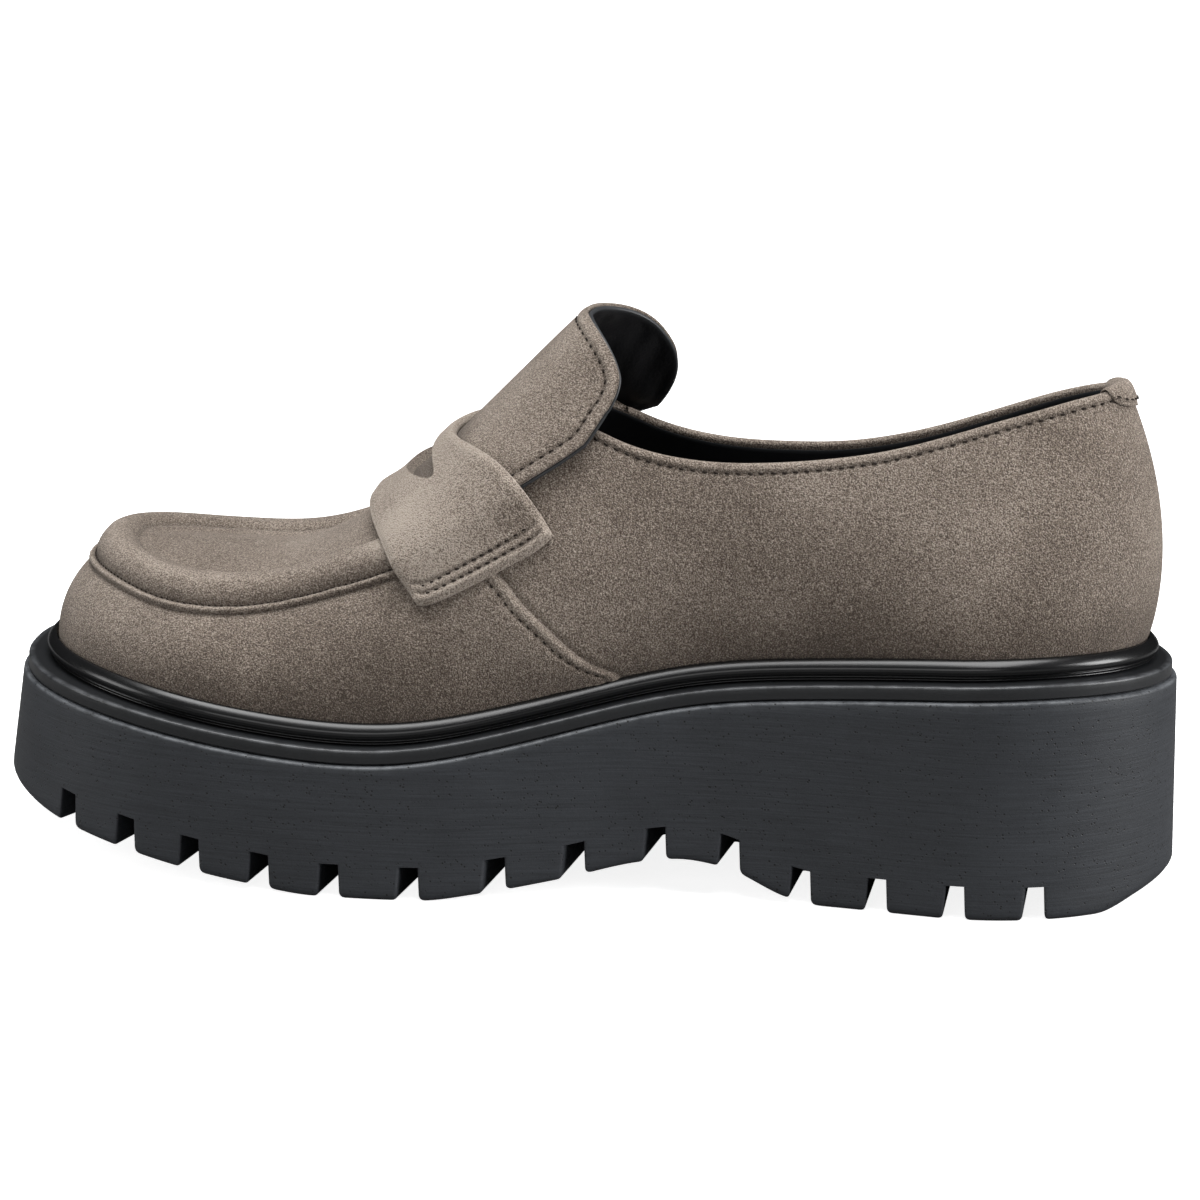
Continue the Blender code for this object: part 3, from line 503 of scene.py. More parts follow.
def makeRubberGroup():
    number, colour = "NodeSocketFloat", "NodeSocketColor"
    tree, take, give = newGroup(
        "mouldedRubber",
        [("Base", colour, None), ("Worn", colour, None), ("Wear", number, 0.0),
         ("Streaks", number, 1.0), ("Pores", number, 1.0), ("Rough Low", number, 0.45), ("Rough High", number, 0.6)],
        [("Color", colour), ("Height", number), ("Roughness", number)])
    spot = put(tree, "ShaderNodeTexCoord", (-1200, 400)).outputs["Object"]
    longWay = put(tree, "ShaderNodeMapping", (-1000, 400), {"Scale": (1.0, 1.0, 42.0)})
    tree.links.new(spot, longWay.inputs["Vector"])
    streak = noiseAt(tree, longWay.outputs["Vector"], 52.0, 6.0, 0.72, (-800, 400))
    fine = noiseAt(tree, spot, 2400.0, 2.0, 0.6, (-800, 200))
    cloud = noiseAt(tree, spot, 60.0, 4.0, 0.6, (-800, 0))
    pores = put(tree, "ShaderNodeTexVoronoi", (-800, -250), {"Scale": 900.0, "Randomness": 1.0})
    tree.links.new(spot, pores.inputs["Vector"])
    hole = ranged(tree, pores.outputs["Distance"], 0.10, 0.26, 1.0, 0.0, (-600, -250))
    rare = ranged(tree, noiseAt(tree, spot, 420.0, 1.0, 0.5, (-800, -500)), 0.45, 0.56, 0.0, 1.0, (-600, -500))
    hole = sums(tree, "MULTIPLY", sums(tree, "MULTIPLY", hole, rare), take.outputs["Pores"], (-400, -300))
    lines = swing(tree, streak, take.outputs["Streaks"])
    tone = sums(tree, "ADD", sums(tree, "MULTIPLY", lines, 1.1),
                swing(tree, cloud, 0.5), (-300, 250))
    tone = sums(tree, "ADD", tone, swing(tree, fine, 0.5), (-150, 250))
    factor = put(tree, "ShaderNodeCombineColor", (100, 250))
    gain = sums(tree, "ADD", tone, 1.0)
    for i in range(3):
        tree.links.new(gain, factor.inputs[i])
    plain = blendColour(tree, 1.0, take.outputs["Base"], factor.outputs[0], (300, 250), "MULTIPLY")
    chipped = ranged(tree, noiseAt(tree, spot, 260.0, 4.0, 0.7, (-800, -700)), 0.36, 0.60, 0.15, 1.0, (-600, -700))
    wear = sums(tree, "MULTIPLY", take.outputs["Wear"], chipped, (100, -100), clamp=True)
    worn = blendColour(tree, wear, plain, take.outputs["Worn"], (500, 200))
    # pores painted near black: painted shade in the pits
    pitted = blendColour(tree, sums(tree, "MULTIPLY", hole, 0.88), worn, (0.004, 0.004, 0.004, 1.0), (700, 200))
    tree.links.new(pitted, give.inputs["Color"])
    height = sums(tree, "SUBTRACT", sums(tree, "ADD", sums(tree, "MULTIPLY", lines, 0.8),
                                         sums(tree, "MULTIPLY", fine, 0.35)), hole, (500, -200))
    tree.links.new(height, give.inputs["Height"])
    rough = put(tree, "ShaderNodeMix", (500, -400), data_type="FLOAT")
    tree.links.new(cloud, rough.inputs[0])
    tree.links.new(take.outputs["Rough Low"], rough.inputs[2])
    tree.links.new(take.outputs["Rough High"], rough.inputs[3])
    tree.links.new(rough.outputs[0], give.inputs["Roughness"])
    return tree


napGroup = makeNapGroup()
rubberGroup = makeRubberGroup()


def newMaterial(name, **shaderValues):
    made = bpy.data.materials.new(name)
    made.use_nodes = True
    tree = made.node_tree
    shader = tree.nodes["Principled BSDF"]
    shader.location = (600, 0)
    for key, value in shaderValues.items():
        shader.inputs[key].default_value = value
    return made, tree, shader


def groupNode(tree, group, values, place=(0, 0)):
    node = put(tree, "ShaderNodeGroup", place, node_tree=group)
    for key, value in values.items():
        node.inputs[key].default_value = value
    return node


def bumpInto(tree, shader, height, strength, distance, place=(350, -300)):
    bump = put(tree, "ShaderNodeBump", place, {"Strength": strength, "Distance": distance})
    tree.links.new(height, bump.inputs["Height"])
    tree.links.new(bump.outputs["Normal"], shader.inputs["Normal"])


suedeLook = {
    "dark": (0.080, 0.063, 0.051, 1.0), "mid": (0.205, 0.165, 0.134, 1.0), "light": (0.420, 0.360, 0.305, 1.0),
    "grainSize": 0.00036, "grain": 1.35, "cloud": 0.62, "bump": 0.75, "bumpDepth": 0.00030,
    "sheen": 0.22, "sheenRough": 0.45,
}


def makeSuede(name, grain=1.0, cloud=1.0):
    look = suedeLook
    made, tree, shader = newMaterial(name, **{
        "Specular IOR Level": 0.15, "Sheen Weight": look["sheen"], "Sheen Roughness": look["sheenRough"],
        "Sheen Tint": (0.86, 0.80, 0.74, 1.0)})
    nap = groupNode(tree, napGroup, {
        "Dark": look["dark"], "Mid": look["mid"], "Light": look["light"], "Grain Size": look["grainSize"],
        "Grain": look["grain"] * grain, "Cloud": look["cloud"] * cloud})
    for i, (key, layer) in enumerate((("Seam", "seamShade"), ("Edge", "edgeNapAndHighlight"), ("Patch", "napShadingPatch"))):
        tree.links.new(mask(tree, layer, (-300, -200 * i)), nap.inputs[key])
    tree.links.new(nap.outputs["Color"], shader.inputs["Base Color"])
    tree.links.new(nap.outputs["Roughness"], shader.inputs["Roughness"])
    bumpInto(tree, shader, nap.outputs["Height"], look["bump"], look["bumpDepth"])
    return made


def makeRubber(name, base, worn, streaks, pores, rough, bump, depth, **shaderValues):
    made, tree, shader = newMaterial(name, **shaderValues)
    body = groupNode(tree, rubberGroup, {
        "Base": base, "Worn": worn, "Streaks": streaks, "Pores": pores,
        "Rough Low": rough[0], "Rough High": rough[1]})
    tree.links.new(mask(tree, "edgeWear", (-300, 0)), body.inputs["Wear"])
    tree.links.new(body.outputs["Color"], shader.inputs["Base Color"])
    tree.links.new(body.outputs["Roughness"], shader.inputs["Roughness"])
    bumpInto(tree, shader, body.outputs["Height"], bump, depth)
    return made


def makeLining(name, base, light, rough, bump):
    made, tree, shader = newMaterial(name, **{"Specular IOR Level": 0.5})
    spot = put(tree, "ShaderNodeTexCoord", (-900, 200)).outputs["Object"]
    cells = put(tree, "ShaderNodeTexVoronoi", (-700, 0), {"Scale": 1300.0, "Randomness": 1.0})
    tree.links.new(spot, cells.inputs["Vector"])
    cloud = noiseAt(tree, spot, 120.0, 4.0, 0.6, (-700, 300))
    tone = blendColour(tree, sums(tree, "MULTIPLY", cloud, 0.5), base, light, (-200, 200))
    raw = blendColour(tree, mask(tree, "rawEdge", (-400, -250)), tone, (0.036, 0.038, 0.041, 1.0), (100, 200))
    tree.links.new(raw, shader.inputs["Base Color"])
    tree.links.new(ranged(tree, cloud, 0.3, 0.7, rough, rough + 0.14, (100, -50)), shader.inputs["Roughness"])
    bumpInto(tree, shader, cells.outputs["Distance"], bump, 0.00012)
    return made


def makeThread(name, colour):
    made, tree, shader = newMaterial(name, **{"Specular IOR Level": 0.2, "Roughness": 0.8})
    spot = put(tree, "ShaderNodeTexCoord", (-900, 200)).outputs["Object"]
    twist = noiseAt(tree, spot, 5200.0, 2.0, 0.6, (-700, 200))
    darker = tuple(c * 0.45 for c in colour[:3]) + (1.0,)
    tree.links.new(blendColour(tree, twist, darker, colour, (-300, 200)), shader.inputs["Base Color"])
    bumpInto(tree, shader, twist, 0.5, 0.0001)
    return made


suede = makeSuede("taupeSuede")
strapSuede = makeSuede("strapSuede", 1.0, 1.3)
soleRubber = makeRubber("soleRubber", (0.0285, 0.0313, 0.0364, 1.0), (0.112, 0.119, 0.128, 1.0),
                        1.35, 1.5, (0.44, 0.60), 0.35, 0.00016, **{"Specular IOR Level": 0.42})
runnerRubber = makeRubber("runnerRubber", (0.0115, 0.0124, 0.0138, 1.0), (0.115, 0.120, 0.128, 1.0),
                          0.5, 0.35, (0.34, 0.46), 0.25, 0.00012, **{"Specular IOR Level": 0.5})
weltRubber = makeRubber("weltRubber", (0.0055, 0.0056, 0.0060, 1.0), (0.05, 0.05, 0.055, 1.0),
                        0.0, 0.1, (0.22, 0.28), 0.02, 0.00004, **{"Specular IOR Level": 0.55})
lining = makeLining("blackLining", (0.0045, 0.0045, 0.0055, 1.0), (0.012, 0.012, 0.014, 1.0), 0.34, 0.25)
thread = makeThread("darkThread", (0.030, 0.022, 0.017, 1.0))
print("loafer: finishes made")


# Sole unit

soleSet = {
    "flareToe": 0.0026, "flare": 0.0012, "flareFade": (-0.125, -0.085), "sideFoot": 0.0022,
    "topRound": 0.0007, "bottomRound": 0.0015, "columnStep": 0.0015, "wallRows": 18,
    "grooveTop": 0.0040, "grooveFoot": 0.0056, "grooveTall": 0.0082, "grooveUnder": 0.004,
    "mouthRound": 0.0007, "endRound": 0.0016,
    # x at the edge, turn towards the heel in degrees, length
    "grooves": [(-0.1176, 17, 0.022), (-0.1020, 12, 0.026), (-0.0859, 8, 0.028), (-0.0691, 7, 0.029),
                (-0.0526, 7, 0.029), (-0.0343, 7, 0.029), (-0.0150, 7, 0.027), (0.0025, 7, 0.022),
                (0.0207, 6, 0.020), (0.0378, 5, 0.020), (0.0545, 3, 0.022), (0.0722, 1, 0.026),
                (0.0902, 0, 0.027), (0.1082, 0, 0.027)],
    "barHalfLong": 0.013, "barFoot": 0.0036, "barTop": 0.0026, "barTall": 0.0050, "barDrift": 0.0005,
    "gridStep": 0.004,
}


def soleFlare(turn):
    s = soleSet
    return s["flareToe"] + (s["flare"] - s["flareToe"]) * ease(edge(turn)[..., 0], *s["flareFade"])


def soleSide(turn, high, inset):  # outline of the side at a height above the tread
    top, foot = outline(turn, 0.0), outline(turn, inset - soleFlare(turn))
    topZ = stepHeight(top[..., 0])
    tread = treadHeight(foot[..., 0])
    part = np.clip((topZ - tread - high) / (topZ - tread - soleSet["sideFoot"]), 0, 1)[..., None]
    flat = top + (foot - top) * part
    return np.concatenate([flat, (treadHeight(flat[..., 0]) + high)[..., None]], -1)


def soleLevels():
    s = soleSet
    levels = [(s["grooveTall"], 0.0), (0.0064, 0.0), (0.0044, 0.0), (0.0028, 0.0)]
    for degrees in (0, 18, 36, 54, 72, 90):
        a = math.radians(degrees)
        levels.append((s["bottomRound"] * 1.1 * (1 - math.sin(a)), s["bottomRound"] * (1 - math.cos(a))))
    return levels


def grooveList():  # start, inward direction and length of each groove, in the order of the turn
    s = soleSet
    found = []
    for side, half in ((-1, planMedial), (1, planLateral)):
        rows = s["grooves"] if side < 0 else s["grooves"][::-1]
        for x, degrees, length in rows:
            ends = cap(x - lastForm["toeX"], lastForm["toeCap"], lastForm["toePower"])
            ends = ends * cap(lastForm["heelX"] - x, lastForm["heelCap"], lastForm["heelPower"])
            lean = math.radians(degrees)
            start = np.array([x, side * float(half(x) * ends)])
            found.append((start, np.array([math.sin(lean), -side * math.cos(lean)]), length, side))
    return found


def grooveDetour(groove, high, inset, fineTurns, fineSide):
    s = soleSet
    start, inwards, length, side = groove
    across = np.array([-inwards[1], inwards[0]])
    place = fineSide[:, :2] - start
    u, w = place @ across, place @ inwards
    near = (np.abs(w) < 0.012) & (np.abs(u) < 0.009) & (np.sign(np.sin(fineTurns)) == -side)
    turns, us, ws = fineTurns[near], u[near], w[near]
    way = 1.0 if us[-1] > us[0] else -1.0
    half = s["grooveTop"] / 2 + (s["grooveFoot"] - s["grooveTop"]) / 2 * (s["grooveTall"] - high) / (
        s["grooveTall"] + s["grooveUnder"]) + inset * 0.6
    corner, deep = s["mouthRound"], length + inset * 0.6

    def meet(value):
        return float(np.interp(value * way, us * way, turns))

    turnA, turnB = meet(-way * (half + corner)), meet(way * (half + corner))
    points = []

    def mouth(sign):
        foot = np.interp(sign * (half + corner) * way, us * way, ws)
        top = np.interp(sign * half * way, us * way, ws)
        a, b = np.array([sign * (half + corner), foot]), np.array([sign * half, top])
        c = np.array([sign * half, top + corner])
        return [(1 - t) ** 2 * a + 2 * t * (1 - t) * b + t * t * c for t in (0.0, 0.25, 0.5, 0.75, 1.0)], top + corner

    first, fromA = mouth(-way)
    last, fromB = mouth(way)
    roundEnd = min(s["endRound"], half * 0.95)
    points += first
    points += [np.array([-way * half, fromA + (deep - roundEnd - fromA) * t]) for t in np.linspace(0, 1, 9)[1:]]
    for sign, degrees in ((-way, 30), (-way, 60), (-way, 90), (way, 90), (way, 60), (way, 30)):
        a = math.radians(degrees)
        points.append(np.array([sign * (half - roundEnd + roundEnd * math.cos(a)),
                                deep - roundEnd + roundEnd * math.sin(a)]))
    points += [np.array([way * half, fromB + (deep - roundEnd - fromB) * t]) for t in np.linspace(1, 0, 9)]
    points += last[::-1][1:]
    uw = np.array(points)
    flat = start + uw[:, :1] * across + uw[:, 1:] * inwards
    z = treadHeight(flat[:, 0]) + high
    return turnA, turnB, np.column_stack([flat, z])


def fillFlat(outer, inner, holes=()):  # triangles between a closed loop, loose points inside it and holes
    points = np.concatenate([outer] + list(holes) + ([inner] if len(inner) else []))
    edges, base = [], 0
    for loop in [outer] + list(holes):
        edges += [(base + i, base + (i + 1) % len(loop)) for i in range(len(loop))]
        base += len(loop)
    made = geometry.delaunay_2d_cdt([Vector(p[:2]) for p in points], edges, [], 1, 1e-9)
    back = [origins[0] if origins else -1 for origins in made[3]]
    return [tuple(back[k] for k in face) for face in made[2] if all(back[k] >= 0 for k in face)]


def makeSole():
    s = soleSet
    fineTurns = np.linspace(0, 2 * math.pi, 9001)[:-1] + 1e-4
    grooves = grooveList()
    levels = soleLevels()
    rings, kinds, mouthTurns = [], [], None
    counts = None
    for high, inset in levels:
        fineSide = soleSide(fineTurns, high, inset)
        cuts = [grooveDetour(g, high, inset, fineTurns, fineSide) for g in grooves]
        if counts is None:
            counts = []
            for i, cut in enumerate(cuts):
                ahead = cuts[(i + 1) % len(cuts)][0]
                span = ahead - cut[1] if ahead > cut[1] else ahead + 2 * math.pi - cut[1]
                stretch = outline(np.linspace(cut[1], cut[1] + span, 60), 0.0)
                run = np.linalg.norm(np.diff(stretch, axis=0), axis=1).sum()
                counts.append(max(int(run / s["columnStep"]), 4))
        parts, turnsHere, kind = [], [], []
        for i, (turnA, turnB, detour) in enumerate(cuts):
            parts.append(detour)
            kind += [i] * len(detour)
            ahead = cuts[(i + 1) % len(cuts)][0]
            ahead = ahead if ahead > turnB else ahead + 2 * math.pi
            between = np.linspace(turnB, ahead, counts[i] + 2)[1:-1]
            parts.append(soleSide(between, high, inset))
            kind += [-1] * len(between)
            turnsHere.append((turnA, turnB, between))
        rings.append(np.concatenate(parts))
        if mouthTurns is None:
            mouthTurns, kinds = turnsHere, np.array(kind)
    width = len(rings[0])
    points, faces = [], []
    size = 0

    def addRows(rows):
        nonlocal size
        base = size
        points.append(rows)
        size += len(rows)
        return base

    bases = [addRows(r) for r in rings]
    for upper, lower in zip(bases, bases[1:]):
        faces.extend(stripFaces(upper, lower, width))
    # wall above the grooves: its lowest row is shared with the first ring except across the mouths
    mouths = 5
    wallTurns, shared = [], []
    at = 0
    detourLength = int((kinds == 0).sum())
    for i, (turnA, turnB, between) in enumerate(mouthTurns):
        wallTurns += [turnA] + list(np.linspace(turnA, turnB, mouths + 2)[1:-1]) + [turnB] + list(between)
        shared += [at] + [None] * mouths + [at + detourLength - 1]
        shared += list(range(at + detourLength, at + detourLength + len(between)))
        at += detourLength + len(between)
    wallTurns = np.array(wallTurns)
    columns = len(wallTurns)
    low = soleSide(wallTurns, s["grooveTall"], 0.0)
    lowIndex = [addRows(low[i:i + 1]) if k is None else bases[0] + k for i, k in enumerate(shared)]
    rounding = s["topRound"]
    tops = []
    for degrees in (90, 68, 45, 22, 0):
        a = math.radians(degrees)
        tops.append(ring(wallTurns, rounding * (1 - math.cos(a)), -rounding * (1 - math.sin(a))))
    below = tops[-1]
    rows = tops + [below + (low - below) * t for t in np.linspace(0, 1, s["wallRows"] + 1)[1:-1]]
    wallBases = [addRows(r) for r in rows]
    for upper, lower in zip(wallBases, wallBases[1:]):
        faces.extend(stripFaces(upper, lower, columns))
    for i in range(columns):
        j = (i + 1) % columns
        faces.append((wallBases[-1] + i, wallBases[-1] + j, lowIndex[j], lowIndex[i]))
    # groove ceilings
    at = 0
    for i, (turnA, turnB, between) in enumerate(mouthTurns):
        loop = [bases[0] + at + k for k in range(detourLength)]
        start = next(k for k, v in enumerate(shared) if v == at)
        loop += [lowIndex[start + m] for m in range(mouths, 0, -1)]
        faces.append(tuple(loop))
        at += detourLength + len(between)
    # tread between the grooves, with its centre bars
    last = rings[-1]
    bars, barLoops = [], []
    table = s["grooves"]
    for (x, a, _), (xNext, b, _) in zip(table, table[1:]):
        middle = (x + xNext) / 2 + (a + b) / 2 * s["barDrift"]
        loop, upper = [], []
        for k in range(28):
            angle = 2 * math.pi * k / 28
            cx, cy = math.cos(angle), math.sin(angle)
            squareX = np.sign(cx) * abs(cx) ** 0.4
            squareY = np.sign(cy) * abs(cy) ** 0.4
            loop.append((middle + squareX * s["barFoot"] / 2, squareY * s["barHalfLong"]))
            upper.append((middle + squareX * s["barTop"] / 2, squareY * (s["barHalfLong"] - 0.0006)))
        loop, upper = np.array(loop), np.array(upper)
        barLoops.append(np.column_stack([loop, treadHeight(loop[:, 0])]))
        bars.append(np.column_stack([upper, treadHeight(upper[:, 0]) + s["barTall"]]))
    gx, gy = np.meshgrid(np.arange(-0.134, 0.136, s["gridStep"]), np.arange(-0.046, 0.048, s["gridStep"]))
    loose = np.column_stack([gx.ravel(), gy.ravel()])
    inside = insideLoop(loose, last[:, :2], 0.0012)
    for loop in barLoops:
        inside &= ~insideBox(loose, loop, 0.0012)
    loose = loose[inside]
    loose = np.column_stack([loose, treadHeight(loose[:, 0])])
    found = fillFlat(last, loose, barLoops)
    barBases = [addRows(loop) for loop in barLoops]
    looseBase = addRows(loose)
    order = list(range(bases[-1], bases[-1] + width))
    for base in barBases:
        order += list(range(base, base + 28))
    order += list(range(looseBase, looseBase + len(loose)))
    flatPoints = np.concatenate([last] + barLoops + [loose])
    for face in found:
        middle = flatPoints[list(face)].mean(axis=0)[None, :2]
        if any(insideBox(middle, loop, -1e-6)[0] and insideLoop(middle, loop[:, :2], 0)[0] for loop in barLoops):
            continue
        faces.append(tuple(order[k] for k in face))
    for base, upper in zip(barBases, bars):
        roof = addRows(upper)
        faces.extend(stripFaces(base, roof, 28))
        faces.append(tuple(range(roof, roof + 28)))
    # hidden top
    faces.extend(tuple(wallBases[0] + k for k in face) for face in fillFlat(rows[0], np.zeros((0, 3))))
    points = np.concatenate(points)
    wear = np.zeros(len(points))
    for k, amount in enumerate((0.75, 1.0, 1.0, 0.55, 0.15)):
        wear[wallBases[k]:wallBases[k] + columns] = amount
    return addMesh("sole", points, faces, soleRubber, "outsole", 34, {"edgeWear": wear})


def insideLoop(spots, loop, margin):
    x, y = spots[:, 0], spots[:, 1]
    inside = np.zeros(len(spots), bool)
    gap = np.full(len(spots), 1e9)
    for a, b in zip(loop, np.roll(loop, -1, axis=0)):
        crosses = (a[1] > y) != (b[1] > y)
        rise = b[1] - a[1] if b[1] != a[1] else 1e-12
        inside ^= crosses & (x < (b[0] - a[0]) * (y - a[1]) / rise + a[0])
        run = b - a
        t = np.clip(((spots - a) @ run) / max(run @ run, 1e-14), 0, 1)
        gap = np.minimum(gap, np.linalg.norm(spots - a - t[:, None] * run, axis=1))
    return inside & (gap > margin)


def insideBox(spots, loop, margin):
    low, high = loop[:, :2].min(axis=0) - margin, loop[:, :2].max(axis=0) + margin
    return ((spots > low) & (spots < high)).all(axis=1)


makeSole()
print("loafer: sole made")


# Runner and welt

soleRings = 640
runnerSet = {"inset": 0.0012, "round": 0.0006, "foot": 0.0003, "ledge": 0.012, "ledgeRows": 6}
weltSet = {
    # distance out from the upper, height above the runner
    "section": [(0.0003, 0.0003), (0.0016, 0.0003), (0.0018, 0.0006), (0.0013, 0.0009), (0.0012, 0.0012),
                (0.0018, 0.0014), (0.0024, 0.0019), (0.0027, 0.0027), (0.0026, 0.0034), (0.0021, 0.0041),
                (0.0015, 0.0047), (0.0009, 0.0051), (0.0003, 0.0052)],
    "smooth": 2,
}


def makeRunner():
    s = runnerSet
    turn = np.linspace(0, 2 * math.pi, soleRings, endpoint=False)
    tall = lastForm["runnerTall"]
    rings, wear = [], []
    for k in range(s["ledgeRows"]):
        inset = s["inset"] + s["round"] + s["ledge"] * (1 - k / (s["ledgeRows"] - 1)) ** 1.5
        rings.append(ring(turn, inset, tall))
        wear.append(0.0 if k < s["ledgeRows"] - 1 else 0.55)
    for degrees, worn in ((65, 0.6), (45, 0.7), (25, 0.5), (0, 0.1)):
        a = math.radians(degrees)
        rings.append(ring(turn, s["inset"] + s["round"] * (1 - math.cos(a)), tall - s["round"] * (1 - math.sin(a))))
        wear.append(worn)
    for inset, high, worn in ((0.0, tall * 0.55, 0.0), (0.0, s["foot"] + 0.0003, 0.0), (0.0004, s["foot"], 0.35)):
        rings.append(ring(turn, s["inset"] + inset, high))
        wear.append(worn)
    faces = ladder(0, soleRings)
    for level in range(len(rings) - 1):
        faces.extend(stripFaces(level * soleRings, (level + 1) * soleRings, soleRings))
    faces += ladder((len(rings) - 1) * soleRings, soleRings)
    return addMesh("runner_layer", np.concatenate(rings), faces, runnerRubber, "runner", 50,
                   {"edgeWear": np.repeat(wear, soleRings)})


def closedCurve(points, smooth):  # rounds a closed polygon off by cutting its corners
    points = np.array(points, float)
    for _ in range(smooth):
        after = np.roll(points, -1, axis=0)
        points = np.stack([points * 0.75 + after * 0.25, points * 0.25 + after * 0.75], 1).reshape(-1, 2)
    return points


def makeWelt():  # one rounded section carried round the upper
    turn = np.linspace(0, 2 * math.pi, soleRings, endpoint=False)
    section = closedCurve(weltSet["section"], weltSet["smooth"])
    rings = [ring(turn, featherInset(turn) - out, lastForm["runnerTall"] + high) for out, high in section]
    faces = []
    for level in range(len(rings)):
        faces.extend(stripFaces(level * soleRings, (level + 1) % len(rings) * soleRings, soleRings))
    wear = np.repeat([0.25 if 0.0004 < high < 0.0010 and out > 0.0019 else 0.0 for out, high in section], soleRings)
    return addMesh("welt_bead", np.concatenate(rings), faces, weltRubber, "welt", 60,
                   {"edgeWear": wear})


insoleSet = {"thick": 0.0032, "lift": 0.0003, "wall": 0.0026, "crown": 0.0006, "rows": 26}


def makeInsole():
    s = insoleSet
    turn = np.linspace(0, 2 * math.pi, 360, endpoint=False)
    base = lastForm["runnerTall"] + s["lift"]
    outer = ring(turn, featherInset(turn) + s["wall"], 0.0)
    middleX = np.clip(outer[:, 0], -0.085, 0.085)
    middle = np.column_stack([middleX, np.zeros(len(turn)), np.zeros(len(turn))])
    rings = []
    for k in range(s["rows"]):
        part = (k + 0.35) / (s["rows"] - 0.65)
        flat = middle[:, :2] + (outer[:, :2] - middle[:, :2]) * part
        dish = s["crown"] * np.cos(min(part, 1) * math.pi / 2) - 0.0005 * ease(np.array(part), 0.93, 1.0)
        rings.append(np.column_stack([flat, stepHeight(flat[:, 0]) + base + s["thick"] + dish]))
    low = ring(turn, featherInset(turn) + s["wall"], base)
    rings.append(low)
    faces = ladder(0, len(turn))
    for level in range(len(rings) - 1):
        faces.extend(stripFaces(level * len(turn), (level + 1) * len(turn), len(turn)))
    faces.append(tuple(range((len(rings) - 1) * len(turn), len(rings) * len(turn))))
    return addMesh("footbed", np.concatenate(rings), faces, lining, "insole", 40,
                   {"rawEdge": np.zeros(len(rings) * len(turn))})


# Upper

upperSet = {
    "columnStep": 0.00135, "seamDensity": 2.0, "seamReach": 0.013,
    "suedeThick": 0.00105, "turnedEdge": (0.0012, 0.0009, 0.0005, 0.0),
    "turnedThick": (0.00112, 0.0020, 0.00215, 0.00205),
    "liningStart": 0.00125, "liningDrop": 0.0007, "wall": 0.0022,
    # distance inside the apron seam's foot, height of the relief
    "apron": [(0.0, 0.0), (0.0001, 0.0004), (0.0003, 0.0009), (0.0007, 0.00125), (0.0011, 0.00125), (0.0015, 0.0010),
              (0.0019, 0.0005), (0.0022, 0.0005), (0.0028, 0.0012), (0.0040, 0.0023), (0.0055, 0.0031),
              (0.0072, 0.0036), (0.0090, 0.0035), (0.0105, 0.0029), (0.0118, 0.0019), (0.0127, 0.0008),
              (0.0132, 0.0001), (0.0138, -0.0002), (0.0150, 0.0001), (0.0160, 0.0)],
    "recess": 0.0024, "recessRun": (0.0118, 0.0185), "recessFade": (-0.078, -0.054),
    "apronFade": (-0.036, -0.028), "rowFade": (-0.048, 0.004), "apronCrease": 0.0134,
    "apronStitchRun": 0.00205,
    # x, share of the rib where the rear edge of the vamp lies
    "vampSeam": [(-0.0300, 0.440), (-0.0240, 0.360), (-0.0165, 0.270), (-0.0113, 0.185), (-0.0043, 0.100),
                 (0.0015, 0.046), (0.0074, 0.015), (0.0108, 0.004)],
    "vampLip": 0.0010, "vampLipWide": 0.0010, "vampFade": 0.015, "vampStitch": 0.0021,
    "rimStitch": 0.0017, "rimRows": (0.0048, 0.0040, 0.0034, 0.0029, 0.0025, 0.0021, 0.0018, 0.0015, 0.0012,
                                     0.0009, 0.0006, 0.0003, 0.0001, 0.0),
}


def columnTurns(step):  # symmetric about the toe, closer together by the vamp's rear edge
    s = upperSet
    fine = np.linspace(0, math.pi, 4001)
    place = outline(fine, featherInset(fine))
    run = runAlong(place)
    middle = np.interp(0.0030, place[:, 0], run)
    weight = 1 + s["seamDensity"] * bell(run - middle, s["seamReach"])
    filled = np.concatenate([[0], np.cumsum(np.diff(run) * (weight[1:] + weight[:-1]) / 2)])
    count = int(filled[-1] / step)
    half = np.interp(np.linspace(0, filled[-1], count + 1), filled, fine)
    return np.concatenate([half, 2 * math.pi - half[-2:0:-1]])


vampRows = np.linspace(0.0, 0.44, 60)


def seamTurns(turns):  # turns at which the vamp's rear edge crosses the rows, on one side of the shoe
    table = np.array(upperSet["vampSeam"])
    xAt = spline(table[::-1, 1], table[::-1, 0])
    return np.array([np.interp(xAt(k), rib(turns, k)[:, 0], turns) for k in vampRows])


vampMedial, vampLateral = seamTurns(sideTurns), seamTurns(2 * math.pi - sideTurns)


def vampTurn(share, medial):
    return np.where(medial, np.interp(share, vampRows, vampMedial), np.interp(share, vampRows, vampLateral))


leanTurns = np.linspace(0, 2 * math.pi, 721)
leanStops = np.minimum(rimShare(leanTurns), 0.385) - 0.015  # columns stand straight from here to the rim


def leanColumns(base, share):  # pulls the columns sideways so that one of them follows the vamp's rear edge
    medial = base <= math.pi
    home = vampTurn(np.zeros_like(share), medial)
    stop = np.interp(base % (2 * math.pi), leanTurns, leanStops)
    pull = (vampTurn(share, medial) - home) * (1 - ease(share, np.minimum(0.28, stop - 0.06), stop))
    return base + pull * (1 - ease(np.abs(base - home), 0.02, 1.15))


def runPastSeam(base, shares):  # distance up each column from the apron's seam
    fineShares, arc = ribRun(base, 61)
    seam = seamShare(footX(base))
    return np.stack([np.interp(shares[i], fineShares, arc[i]) - np.interp(seam[i], fineShares, arc[i])
                     for i in range(len(base))])


def recess(base, run):  # the apron's middle lies deeper than its rolled border
    s = upperSet
    station = footX(base)
    return -s["recess"] * ease(run, *s["recessRun"]) * (1 - ease(station, *s["recessFade"]))[:, None]


